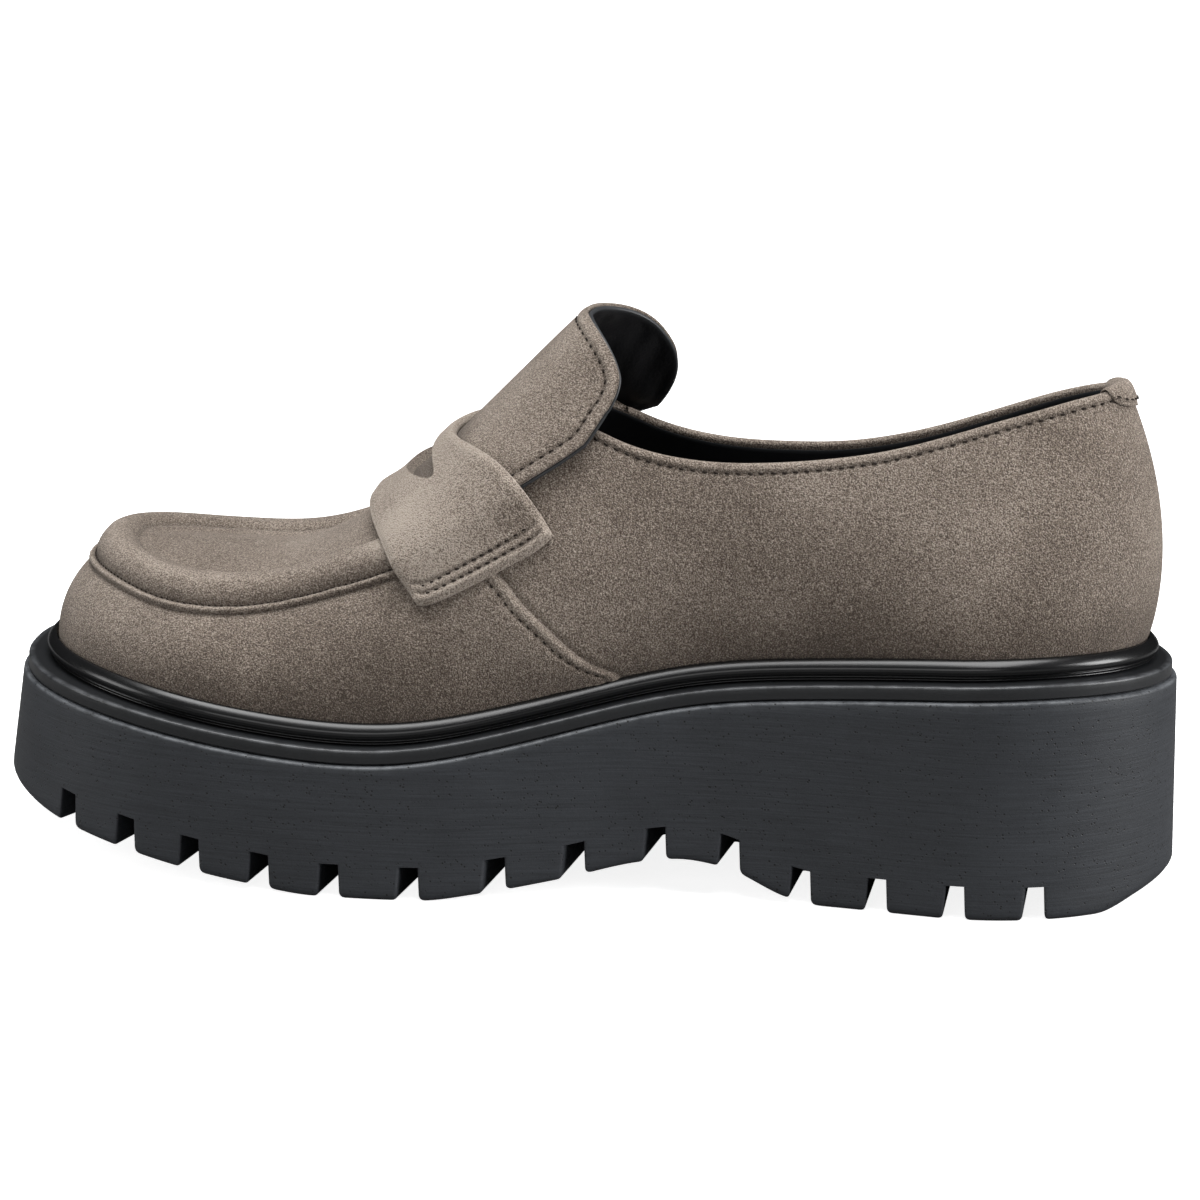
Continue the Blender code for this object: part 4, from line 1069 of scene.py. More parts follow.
def makeUpper():
    s = upperSet
    base = columnTurns(s["columnStep"])
    count = len(base)
    station = footX(base)
    closed = station <= lastForm["throatX"]
    end = np.where(closed, 1.0, rimShare(base))
    fineShares, arc = ribRun(base, 241)

    seam = seamShare(station)
    below = np.linspace(0, 1, 42)[:-1]
    closeBelow = [-0.0030, -0.0022, -0.0015, -0.0010, -0.0006, -0.0003, -0.0001]
    lip = [0.0, 0.0001, 0.0002, 0.00035, 0.0005, 0.0007, 0.0009, 0.0011, 0.0013, 0.0015, 0.0017, 0.0019,
           0.00205, 0.0022, 0.0024, 0.0027]
    roll = list(np.arange(0.0031, 0.0115, 0.00058)) + list(np.arange(0.0115, 0.0166, 0.00034))
    crown = 30
    levels = len(below) + len(closeBelow) + len(lip) + len(roll) + crown
    rimRows = s["rimRows"]
    shares = np.zeros((count, levels))
    runs = np.full((count, levels), -1.0)
    rimGap = np.full((count, levels), 1.0)
    rear, even = ease(station, *s["apronFade"]), ease(station, *s["rowFade"])
    for i in range(count):
        at, rimAt = np.interp(seam[i], fineShares, arc[i]), np.interp(end[i], fineShares, arc[i])
        marks = list(below * (at + closeBelow[0])) + [at + r for r in closeBelow + lip + roll]
        marks += list(marks[-1] + (arc[i, -1] - marks[-1]) * np.linspace(0, 1, crown + 1)[1:])
        marks = np.array(marks)
        toRim = list(np.linspace(0, rimAt - rimRows[0], levels - len(rimRows) + 1)[:-1])
        mixed = marks * (1 - even[i]) + np.array(toRim + [rimAt - r for r in rimRows]) * even[i]
        shares[i] = np.interp(mixed, arc[i], fineShares)
        runs[i] = marks - at
        rimGap[i] = rimAt - mixed
    shares[:, 0] = 0.0
    shares[:, -1] = end
    turns = leanColumns(np.repeat(base[:, None], levels, 1), shares)
    turns[0], shares[0, -1] = base[0], 1.0

    relief = follow(s["apron"])(runs.ravel()).reshape(runs.shape) * (1 - rear)[:, None]
    relief[runs < 0] = 0
    ripple = 1 + 0.10 * np.sin(base * 83) + 0.08 * np.sin(base * 141 + 2)
    relief = np.where(runs < 0.0018, relief * ripple[:, None], relief) + recess(base, runs)
    form = rib(turns, shares)
    normal = outward(turns, shares)
    # vamp's rear edge lies over the quarter
    medial = turns <= math.pi
    away = (turns - vampTurn(shares, medial)) * np.where(medial, 1, -1)
    speed = np.linalg.norm(rib(turns + 0.002, shares) - rib(turns - 0.002, shares), axis=-1) / 0.004
    gap = away * speed * 0.70
    vampStretch = 1 - ease(shares, 0.36, 0.44)
    fallen = 1 - (np.clip(gap + s["vampLipWide"], 0, 1) / s["vampLipWide"]) ** 2
    lipHeight = s["vampLip"] * np.sqrt(np.clip(fallen, 0, 1))
    lipHeight = lipHeight * (1 - ease(-gap, 0.002, s["vampFade"])) * (gap < 0)
    groove = -0.00035 * bell(gap + s["vampStitch"], 0.00055)
    under = -0.00022 * bell(np.clip(gap, 0, 1), 0.0012) * (gap >= 0)
    relief = relief + (lipHeight + groove + under) * vampStretch
    # stitched line under the open rim
    openRim = (~closed)[:, None] & (rimGap < 0.02)
    relief = relief - 0.00032 * bell(rimGap - s["rimStitch"], 0.00060) * openRim
    relief = relief + 0.00012 * bell(rimGap - 0.0008, 0.0006) * openRim
    outer = form + normal * relief[..., None]

    # painted shade in the apron's and collar's stitch valleys, at the apron seam's foot, down the roll's lower flank
    # and in the crease inside it; a painted shadow on the quarter beside the vamp's lip
    seamShade = np.zeros(shares.shape)
    edgeNapAndHighlight = np.zeros(shares.shape)
    front = (1 - rear)[:, None]
    seamShade += front * 0.95 * bell(runs - s["apronStitchRun"], 0.00042)
    seamShade += front * 0.60 * bell(runs + 0.0003, 0.00040)
    seamShade += front * 0.30 * bell(runs - 0.0032, 0.0014)
    crease = 1 - ease(station, -0.072, -0.052)[:, None] * 0.8
    seamShade += front * crease * 0.42 * bell(runs - s["apronCrease"], 0.00045)
    # paler nap on the apron's and vamp's folded lips and the open rim, and a painted highlight along the roll's crest
    edgeNapAndHighlight += front * 0.75 * bell(runs - 0.00095, 0.00050)
    edgeNapAndHighlight += front * 0.45 * bell(runs - 0.0078, 0.0022)
    seamShade += vampStretch * (0.55 * bell(gap - 0.0004, 0.0006) * (gap > -0.0002)
                                + 0.55 * bell(gap + s["vampStitch"], 0.0004))
    edgeNapAndHighlight += vampStretch * 0.8 * bell(gap + 0.0010, 0.0006)
    seamShade += openRim * 0.45 * bell(rimGap - s["rimStitch"], 0.00045)
    edgeNapAndHighlight += openRim * 0.35 * bell(rimGap, 0.0009)

    rimLength = np.array([np.interp(end[i], fineShares, arc[i]) for i in range(count)])
    marks = np.concatenate([np.linspace(0, 1, 16)[None, :] * (1 - 0.0024 / rimLength)[:, None],
                            1 - np.array(s["turnedEdge"])[None, :] / rimLength[:, None]], 1)
    innerShares = marks * end[:, None]
    innerTurns = np.repeat(base[:, None], innerShares.shape[1], 1)
    # the suede is turned over the open rim
    thick = np.full(innerShares.shape, s["suedeThick"])
    thick[:, 16:] = np.where(closed[:, None], s["suedeThick"], np.array(s["turnedThick"])[None, :])
    inner = rib(innerTurns, innerShares)
    sink = recess(base, runPastSeam(base, innerShares)) - thick
    inner = inner + outward(innerTurns, innerShares) * sink[..., None]
    footOut = ring(base, featherInset(base), lastForm["runnerTall"] + 0.0003)
    footIn = ring(base, featherInset(base) + s["suedeThick"], lastForm["runnerTall"] + 0.0003)
    inner[:, 0] = ring(base, featherInset(base) + s["suedeThick"], lastForm["runnerTall"] + lastForm["weltTall"])
    points, faces, kept = hollowShell(outer, inner, footOut, footIn, closed, 5)
    masks = {"seamShade": kept(seamShade), "edgeNapAndHighlight": kept(edgeNapAndHighlight), "napShadingPatch": napShadingPatches(points)}
    return addMesh("suede_upper", points, faces, suede, "upper", 60, masks)


def hollowShell(outer, inner, footOut, footIn, closed, rimRows):
    points, faces = [], []

    def lay(grid, foot):
        count, levels = grid.shape[:2]
        index = np.zeros((count, levels + 1), int)
        for i in range(count):
            index[i, 0] = len(points)
            points.append(foot[i])
            for level in range(levels - 1):
                index[i, level + 1] = len(points)
                points.append(grid[i, level])
        pole = None
        for i in range(count // 2 + 1):
            other = (count - i) % count
            if closed[i]:
                middle = (grid[i, -1] + grid[other, -1]) / 2
                if pole is None:
                    pole, poleIndex = middle, len(points)
                    points.append(middle)
                    index[i, -1] = index[other, -1] = poleIndex
                elif middle[0] - pole[0] < 0.0009:
                    index[i, -1] = index[other, -1] = poleIndex
                else:
                    index[i, -1] = index[other, -1] = len(points)
                    points.append(middle)
            else:
                index[i, -1] = len(points)
                points.append(grid[i, -1])
                if other != i:
                    index[other, -1] = len(points)
                    points.append(grid[other, -1])
        return index

    outside, inside = lay(outer, footOut), lay(inner, footIn)
    count = outer.shape[0]
    rims = {}
    for i in range(count):
        if closed[i]:
            continue
        a, b = np.array(points[outside[i, -1]]), np.array(points[inside[i, -1]])
        up = a - np.array(points[outside[i, -2]])
        up /= max(np.linalg.norm(up), 1e-9)
        middle, reach = (a + b) / 2, (a - b) / 2
        rims[i] = []
        for k in range(1, rimRows + 1):
            angle = math.pi * k / (rimRows + 1)
            rims[i].append(len(points))
            points.append(middle + reach * math.cos(angle) + up * np.linalg.norm(reach) * 0.8 * math.sin(angle))
    for i in range(count):
        j = (i + 1) % count
        for level in range(outside.shape[1] - 1):
            faces.append((outside[i, level], outside[j, level], outside[j, level + 1], outside[i, level + 1]))
        for level in range(inside.shape[1] - 1):
            faces.append((inside[i, level + 1], inside[j, level + 1], inside[j, level], inside[i, level]))
        faces.append((outside[j, 0], outside[i, 0], inside[i, 0], inside[j, 0]))
        if not (closed[i] and closed[j]):
            left = [outside[i, -1]] + rims.get(i, []) + [inside[i, -1]]
            right = [outside[j, -1]] + rims.get(j, []) + [inside[j, -1]]
            if len(left) == len(right):
                for k in range(len(left) - 1):
                    faces.append((left[k], right[k], right[k + 1], left[k + 1]))
            else:
                faces.append(tuple(left + right[::-1]))
    clean = []
    for face in faces:
        corners = []
        for k in face:
            if int(k) not in corners:
                corners.append(int(k))
        if len(corners) > 2:
            clean.append(tuple(corners))
    points = np.array(points)

    def kept(values):  # spreads the outer grid's mask over all the shell's points
        out = np.zeros(len(points))
        levels = outer.shape[1]
        for level in range(levels):
            out[outside[:, level + 1]] = values[:, level]
        out[outside[:, 0]] = values[:, 0]
        for i, row in rims.items():
            out[row] = values[i, -1]
        return out
    return points, clean, kept


napShadingPatchSet = [
    # x, across the instep, reach, strength of a paler or darker stroke: some are nap, some painted shade below the
    # strap and the tongue's edge, some painted light on the strap
    (-0.0425, -0.42, 0.0050, 1.10), (-0.0380, -0.40, 0.0065, 0.70), (-0.0330, -0.20, 0.0090, 0.30),
    (-0.0190, -0.47, 0.0045, -0.55), (-0.0240, -0.55, 0.0050, -0.25), (-0.0300, -0.62, 0.0060, 0.25),
    (-0.0140, -0.30, 0.0100, 0.18), (-0.0030, -0.20, 0.0080, 0.22), (-0.0060, -0.50, 0.0050, -0.20),
    (-0.0130, -0.62, 0.0055, -0.75), (-0.0020, -0.60, 0.0050, -0.45), (0.0150, -0.66, 0.0120, -0.30),
    (0.0300, -0.78, 0.0160, -0.30), (0.0480, -0.60, 0.0120, 0.15),
    (0.0880, -0.66, 0.0150, 0.04), (0.1050, -0.85, 0.0120, -0.20), (0.0700, -0.86, 0.0160, -0.22),
    (-0.0550, -0.86, 0.0160, -0.42), (-0.0850, -0.80, 0.0120, -0.16), (-0.1150, -0.80, 0.0120, 0.20),
    (-0.0350, -0.85, 0.0110, -0.28), (-0.0700, -0.70, 0.0100, -0.10), (-0.0950, -0.15, 0.0120, -0.12),
    (-0.0700, 0.10, 0.0140, 0.20), (-0.0850, 0.40, 0.0120, 0.20), (0.0400, 0.75, 0.0180, -0.25),
    (0.0850, 0.70, 0.0160, 0.25), (-0.0400, 0.80, 0.0150, -0.22), (-0.0400, 0.34, 0.0080, 0.35),
]


def napShadingPatches(points):
    total = np.zeros(len(points))
    # nap strokes with painted shade and painted light, from the table above
    for x, across, reach, strength in napShadingPatchSet:
        away = np.linalg.norm(points - over(x, across, 0.001), axis=1)
        total += strength * bell(away, reach)
    # darker towards the welt: partly dirty nap, partly painted shade
    low = points[:, 2] - stepHeight(points[:, 0]) - lastForm["runnerTall"] - lastForm["weltTall"]
    return total - 0.45 * bell(np.clip(low, 0, 1), 0.009)


def makeLiningShell():
    s = upperSet
    base = columnTurns(0.0022)
    station = footX(base)
    closed = station <= lastForm["throatX"]
    end = rimShare(base)
    path = rib(base[:, None], np.linspace(0, 1, 31)[None, :] * end[:, None])
    length = np.linalg.norm(np.diff(path, axis=1), axis=-1).sum(axis=1)
    end = np.where(closed, 1.0, end * (1 - s["liningDrop"] / length))
    rows = 44
    part = np.concatenate([np.linspace(0, 0.93, rows - 8), np.linspace(0.93, 1, 9)[1:]])
    shares = part[None, :] * end[:, None]
    turns = np.repeat(base[:, None], rows, 1)
    normal = outward(turns, shares)
    form = rib(turns, shares)
    inner = form + normal * (recess(base, runPastSeam(base, shares)) - s["wall"])[..., None]
    outShares = np.linspace(0, 1, 15)[None, :] * end[:, None]
    outTurns = np.repeat(base[:, None], 15, 1)
    sink = recess(base, runPastSeam(base, outShares)) - s["liningStart"]
    outer = rib(outTurns, outShares) + outward(outTurns, outShares) * sink[..., None]
    foot = lastForm["runnerTall"] + 0.0003
    outer[:, 0] = ring(base, featherInset(base) + s["liningStart"], lastForm["runnerTall"] + lastForm["weltTall"])
    inner[:, 0] = ring(base, featherInset(base) + s["wall"], lastForm["runnerTall"] + lastForm["weltTall"])
    points, faces, kept = hollowShell(inner, outer, ring(base, featherInset(base) + s["wall"], foot),
                                      ring(base, featherInset(base) + s["liningStart"], foot), closed, 5)
    rimMask = np.zeros(shares.shape)
    rimMask[:, -1] = 1.0
    rimMask[:, -2] = 0.6
    rimMask[closed] = 0.0
    return addMesh("lining_shell", points, faces, lining, None, 60, {"rawEdge": kept(rimMask)})


# Tongue

tongueSet = {
    # x, half arc as a rib share
    "half": [(-0.050, 0.500), (-0.037, 0.530), (-0.025, 0.535), (-0.011, 0.550), (-0.003, 0.560), (0.0040, 0.556)],
    "root": -0.0485, "rootCurve": 0.016, "tip": -0.0016, "corner": 0.0092, "farCorner": 0.0072, "cornerRound": 0.0062,
    "gap": 0.0006, "thick": 0.0022, "split": 0.00085, "rows": 96, "cols": 150,
    "stitchIn": 0.0028, "liningOut": 0.00045, "wrinkleDeep": 0.00034, "standOff": 0.0012,
    "wrinkles": [(420, 9, 0.3), (-260, 31, 1.7), (610, 38, 2.9), (-700, 17, 4.1), (150, 74, 5.3)],
}
tongueHalf = column(tongueSet["half"], 1)


def tongueEnd(across):
    s = tongueSet
    out = np.abs(across)
    corner = out ** 1.6 * (1 - 0.42 * out ** 7)
    reach = s["corner"] - s["tip"] + s["farCorner"] * ease(across, 0.1, 0.7)
    softened = s["cornerRound"] * (1 - 0.45 * ease(across, 0.0, 0.5)) * (np.clip(out - 0.78, 0, 1) / 0.22) ** 2.0
    return s["tip"] + reach * corner * 1.35 - softened


def standOff(x, across):
    return tongueSet["standOff"] * ease(np.abs(across), 0.38, 0.53) * ease(x, -0.026, -0.012)


def tonguePlace(across, along):
    s = tongueSet
    root = s["root"] + s["rootCurve"] * across ** 2
    x = root + (tongueEnd(across) - root) * along ** 0.9
    return x, across * tongueHalf(x)


def edgeDistance(grid):  # distance of each point from the two sides and the free end of a grid
    best = 0.02
    for path in (grid[:, 0], grid[:, -1], grid[-1]):
        best = np.minimum(best, nearPath(grid.reshape(-1, 3), path, 0.006))
    return best.reshape(grid.shape[:2])


def makeTongue():
    s = tongueSet
    spread = closerAtEnds(np.linspace(-1, 1, s["cols"] + 1), 0.86)
    along = closerAtEnds(np.linspace(0, 1, s["rows"] + 1), 0.80)
    x, share = tonguePlace(spread[None, :], along[:, None])
    stand = standOff(x, share)
    middle = over(x, share, s["gap"] + s["thick"] + stand)
    gap = edgeDistance(middle)
    puff = 0.00018 * bell(gap - 0.0013, 0.0009) - 0.00038 * bell(gap - s["stitchIn"], 0.00055)
    puff -= 0.00010 * bell(gap, 0.0004)
    top = over(x, share, s["gap"] + s["thick"] + puff + stand)
    low = over(x, share, s["gap"] + s["split"] + 0.0001 + stand)
    points, faces = slabMesh(top, low, edgeRound(top, low, 4, 0.0005))
    seam, edgeLight = np.zeros(len(points)), np.zeros(len(points))
    flat = gap.ravel()
    size = len(flat)
    seam[:size] = 0.60 * bell(flat - s["stitchIn"], 0.00045)
    seam[:size] += (0.85 * (1 - ease(x, -0.030, -0.024))).ravel()  # shaded under the strap
    # puffed lip painted paler: nap on the fold and a painted highlight
    edgeLight[:size] = 0.35 * bell(flat - 0.0012, 0.0008)
    seam[size:] = 0.35
    addMesh("tongue_suede", points, faces, suede, "tongue", 60,
            {"seamShade": seam, "edgeNapAndHighlight": edgeLight, "napShadingPatch": napShadingPatches(points)})
    # lining under it, a little wider than the suede at its free edge
    wide = 1 + 0.012 * ease(along, 0.3, 0.6)
    x, share = tonguePlace(spread[None, :], along[:, None])
    x = x + (s["liningOut"] * 0.8 * ease(along, 0.85, 1.0))[:, None]
    share = share * wide[:, None]
    stand = standOff(x, share)
    normalGap = edgeDistance(over(x, share, s["gap"] + stand))
    wrinkle = sum(np.sin(x * across + share * around + phase + 2.2 * np.sin(share * 9 + phase)) / (k + 2)
                  for k, (across, around, phase) in enumerate(s["wrinkles"]))
    wrinkle = s["wrinkleDeep"] * wrinkle * ease(x, -0.02, -0.008)
    top = over(x, share, s["gap"] + s["split"] + stand)
    bottomLift = s["gap"] - 0.0002 + stand + wrinkle * ease(normalGap, 0.0008, 0.003)
    low = over(x, share, bottomLift)
    points, faces = slabMesh(top, low, edgeRound(top, low, 3, 0.00035))
    raw = np.zeros(len(points))
    raw[2 * top.shape[0] * top.shape[1]:] = 1.0
    flat = normalGap.ravel()
    raw[:len(flat)] = bell(flat, 0.0005)
    raw[len(flat):2 * len(flat)] = 0.8 * bell(flat, 0.0006)
    addMesh("tongue_lining", points, faces, lining, None, 60, {"rawEdge": raw})


def edgeRound(top, low, rows, out):  # rows of points that round the edge between two grids
    r, c = top.shape[:2]
    rim = gridRim(r, c)
    a = top.reshape(-1, 3)[rim]
    down = low.reshape(-1, 3)[rim] - a
    inner = top[np.clip(rim // c, 1, r - 2), np.clip(rim % c, 1, c - 2)]
    outwards = a - inner
    square = np.maximum(np.sum(down * down, 1, keepdims=True), 1e-12)
    outwards -= down * (np.sum(outwards * down, 1, keepdims=True) / square)
    outwards /= np.maximum(np.linalg.norm(outwards, axis=1, keepdims=True), 1e-12)
    found = []
    for k in range(1, rows + 1):
        angle = math.pi * k / (rows + 1)
        part = (1 - math.cos(angle)) / 2
        found.append(a + down * part + outwards * out * math.sin(angle))
    return found


# Saddle strap

strapSet = {
    # rib share over the instep, x of the front edge, x of the rear edge
    "table": [(-0.700, -0.0348, -0.0064), (-0.600, -0.0386, -0.0110), (-0.450, -0.0430, -0.0176),
              (-0.250, -0.0480, -0.0262), (0.000, -0.0508, -0.0310), (0.250, -0.0480, -0.0262),
              (0.450, -0.0430, -0.0176), (0.600, -0.0386, -0.0110), (0.700, -0.0348, -0.0064)],
    "halfShare": 0.700, "endSlant": 0.030, "endRound": 0.020,
    "thick": 0.0020, "cols": 230, "rows": 84, "gap": 0.0006, "drop": (0.53, 0.66), "dropX": (-0.046, -0.039),
    # the last value paints light over the whole strap, which faces the light from above
    "endStitch": (0.0024, 0.0046), "paintedTopLight": 0.46,
    "slotAcross": 0.31, "slotShift": 0.0030, "slotWide": 0.0076, "slotTaper": 0.30, "slotSteps": 72,
}
strapFront, strapRear = column(strapSet["table"], 1), column(strapSet["table"], 2)


def strapLift(x, across):
    s = strapSet
    middle = 1 - ease(np.abs(across), *s["drop"])
    ahead = 1 - ease(x, *s["dropX"])
    return s["gap"] + middle * (tongueSet["thick"] + s["gap"] * (1 - ahead))


def strapPlace(across, along):
    s = strapSet
    front, rear = strapFront(across), strapRear(across)
    slant = 1 + s["endSlant"] * along - s["endRound"] * (2 * along - 1) ** 8
    return front + (rear - front) * along, across * slant


def makeStrap():
    s = strapSet
    spread = closerAtEnds(np.linspace(-1, 1, s["cols"] + 1), 0.84) * s["halfShare"]
    along = closerAtEnds(np.linspace(-1, 1, s["rows"] + 1), 0.88) / 2 + 0.5
    x, share = strapPlace(spread[None, :], along[:, None])
    share = np.broadcast_to(share, x.shape)
    lift = strapLift(x, share)
    flat = over(x, share, lift + s["thick"])
    rows, cols = flat.shape[:2]
    points = flat.reshape(-1, 3)

    def nearest(first, last, reach):
        return np.minimum(nearPath(points, first, reach), nearPath(points, last, reach)).reshape(rows, cols)

    endGap, sideGap = nearest(flat[:, 0], flat[:, -1], 0.009), nearest(flat[0], flat[-1], 0.006)
    gap = np.minimum(endGap, sideGap)
    soften = -0.00055 * np.exp(-(gap / 0.00075) ** 1.6)
    puff = 0.00030 * bell(endGap - 0.0011, 0.0008)
    valley = 0
    for at in s["endStitch"]:
        valley = valley - 0.00045 * bell(endGap - at, 0.00052)
    valley = valley * ease(sideGap, 0.0006, 0.0018)
    wave = 0.00035 * np.sin(x * 210 + share * 5.0) * bell(np.abs(share) - 0.42, 0.16)
    top = over(x, share, lift + s["thick"] + soften + puff + valley + wave)
    low = over(x, share, lift - 0.0005 * (1 - ease(np.abs(share), 0.50, 0.62)))
    meshPoints, faces = slabMesh(top, low, edgeRound(top, low, 5, 0.00055))
    size = rows * cols
    seam, light = np.zeros(len(meshPoints)), np.zeros(len(meshPoints))
    shade = 0
    for at in s["endStitch"]:
        shade = shade + 0.55 * bell(endGap - at, 0.00045)
    seam[:size] = (shade * ease(sideGap, 0.0006, 0.0018)).ravel()
    # edges painted paler: nap on the folded edges and a painted highlight
    light[:size] = (0.55 * bell(sideGap, 0.0010)
                    + 0.40 * bell(endGap - 0.0010, 0.0008)).ravel()
    light[2 * size:] = 0.4
    # the strap's mask: nap strokes plus painted light all over, from above
    strap = addMesh("strap_suede", meshPoints, faces, strapSuede, "saddle_strap", 60,
                    {"seamShade": seam, "edgeNapAndHighlight": light, "napShadingPatch": napShadingPatches(meshPoints) + s["paintedTopLight"]})
    cutSlot(strap)
    return strap


def cutSlot(strap):
    s = strapSet
    steps = s["slotSteps"]
    angle = np.linspace(0, 2 * math.pi, steps, endpoint=False)
    across = s["slotAcross"] * np.cos(angle)
    middle = (strapFront(across) + strapRear(across)) / 2 + s["slotShift"]
    x = middle + s["slotWide"] / 2 * np.sin(angle) * (1 - s["slotTaper"] * np.abs(np.cos(angle)))
    points = np.concatenate([over(x, across, 0.0), over(x, across, 0.009)]) + settle
    faces = [tuple(range(steps)), tuple(range(2 * steps - 1, steps - 1, -1))]
    faces += [(i, (i + 1) % steps, steps + (i + 1) % steps, steps + i) for i in range(steps)]
    mesh = bpy.data.meshes.new("slot_cutter")
    mesh.from_pydata(points.tolist(), [], faces)
    cutter = bpy.data.objects.new("slot_cutter", mesh)
    bpy.context.collection.objects.link(cutter)
    turnFacesOut(mesh)
    cut = strap.modifiers.new("slot", "BOOLEAN")
    cut.operation, cut.solver, cut.object = "DIFFERENCE", "EXACT", cutter
    bpy.context.view_layer.update()
    made = bpy.data.meshes.new_from_object(strap.evaluated_get(bpy.context.evaluated_depsgraph_get()))
    strap.modifiers.clear()
    strap.data = made
    bpy.data.objects.remove(cutter, do_unlink=True)


# Heel tab

tabSet = {"turn": 0.25, "deepOut": 0.0046, "deepIn": 0.0070, "thick": 0.0009, "gap": 0.0003, "cols": 60,
          "endShare": 0.10, "stitchIn": 0.0012}


def makeTab():
    s = tabSet
    spread = np.linspace(-1, 1, s["cols"] + 1)
    turn = math.pi + spread * s["turn"]
    top = rimShare(turn)
    rimOut = rib(turn, top)
    normal = outward(turn, top)
    down = unit(rib(turn, top - 0.05) - rimOut)
    wall = upperSet["wall"] + 0.0001
    rimIn = rimOut - normal * wall
    deep = s["endShare"] + (1 - s["endShare"]) * np.sqrt(np.clip(1 - spread ** 2, 0, 1))
    ends = (0.35 + 0.65 * np.sqrt(np.clip(1 - spread ** 4, 0, 1)))[:, None]
    near, far = [], []
    for part in np.linspace(1, 0, 12)[:-1]:
        fall = down * (s["deepOut"] * part * deep)[:, None]
        thick = s["thick"] * (0.40 + 0.60 * ease(np.array((1 - part) * s["deepOut"]), 0.0, 0.0020)) * ends
        near.append(rimOut + normal * s["gap"] * 0.3 + fall)
        far.append(rimOut + normal * (s["gap"] + thick) + fall)
    middle = (rimOut + rimIn) / 2
    half = wall / 2
    for degrees in (0, 30, 60, 90, 120, 150, 180):
        a = math.radians(degrees)
        reach = normal * math.cos(a) - down * math.sin(a) * 0.8
        near.append(middle + reach * (half + s["gap"] * 0.6) - down * 0.0002)
        far.append(middle + reach * (half + s["gap"] + s["thick"] * 0.9 * ends) - down * 0.0002)
    for part in np.linspace(0.1, 1, 8):
        fall = down * (s["deepIn"] * part * deep)[:, None]
        near.append(rimIn - normal * s["gap"] * 0.3 + fall)
        far.append(rimIn - normal * (s["gap"] + s["thick"] * 0.8 * ends) + fall)
    far, near = np.stack(far), np.stack(near)
    points, faces = slabMesh(far, near, edgeRound(far, near, 3, 0.0003))
    seam, light = np.zeros(len(points)), np.zeros(len(points))
    # lower outer edge painted paler: nap on the fold and a painted highlight
    light[:far.shape[1] * 2] = 0.4
    addMesh("tab_suede", points, faces, suede, "heel_tab", 60,
            {"seamShade": seam, "edgeNapAndHighlight": light, "napShadingPatch": np.zeros(len(points))})


# Stitches

stitchSet = {
    "sides": 6, "rows": 5, "arch": (-1.5, 0.35, 0.75, 0.35, -1.5), "flat": 0.85, "endThick": 0.75,
    # pitch, length, lift, thickness, slant
    "apron": (0.0016, 0.0010, 0.00005, 0.00020, 0.25), "vamp": (0.0026, 0.0014, 0.0, 0.00024, 0.10),
    "collar": (0.0026, 0.0013, 0.00004, 0.00024, 0.10), "tongue": (0.0026, 0.0013, 0.0, 0.00023, 0.10),
    "tab": (0.0024, 0.0012, 0.0, 0.00020, 0.10), "strap": (0.0022, 0.0013, 0.00006, 0.00025, 0.22),
}
stitchPoints, stitchFaces = [], []


def sewRow(path, normals, kind):
    s = stitchSet
    pitch, length, lift, thick, slant = s[kind]
    both = evenPath(np.concatenate([path, normals], axis=1), pitch / 8)
    run = runAlong(both[:, :3])
    count = int(run[-1] / pitch)
    for n in range(count):
        at = (n + 0.5) * pitch + random.uniform(-0.06, 0.06) * pitch
        marks = at + np.linspace(-0.5, 0.5, s["rows"]) * length * random.uniform(0.92, 1.06)
        spots = np.stack([np.interp(marks, run, both[:, k]) for k in range(6)], -1)
        tangent = spots[-1, :3] - spots[0, :3]
        tangent /= np.linalg.norm(tangent)
        up = unit(spots[:, 3:])
        side = unit(np.cross(tangent, up))
        arch = np.array(s["arch"]) * thick
        skew = np.linspace(-1, 1, s["rows"]) * length * slant / 2
        base = len(stitchPoints)
        for k in range(s["rows"]):
            middle = spots[k, :3] + up[k] * (lift + arch[k]) + side[k] * skew[k]
            fat = thick * (s["endThick"] if k in (0, s["rows"] - 1) else 1.0)
            for m in range(s["sides"]):
                a = 2 * math.pi * m / s["sides"]
                stitchPoints.append(middle + side[k] * math.cos(a) * fat + up[k] * math.sin(a) * fat * s["flat"])
        for k in range(s["rows"] - 1):
            for m in range(s["sides"]):
                j = (m + 1) % s["sides"]
                a, b = base + k * s["sides"], base + (k + 1) * s["sides"]
                stitchFaces.append((a + m, a + j, b + j, b + m))
        stitchFaces.append(tuple(range(base + s["sides"] - 1, base - 1, -1)))
        last = base + (s["rows"] - 1) * s["sides"]
        stitchFaces.append(tuple(range(last, last + s["sides"])))


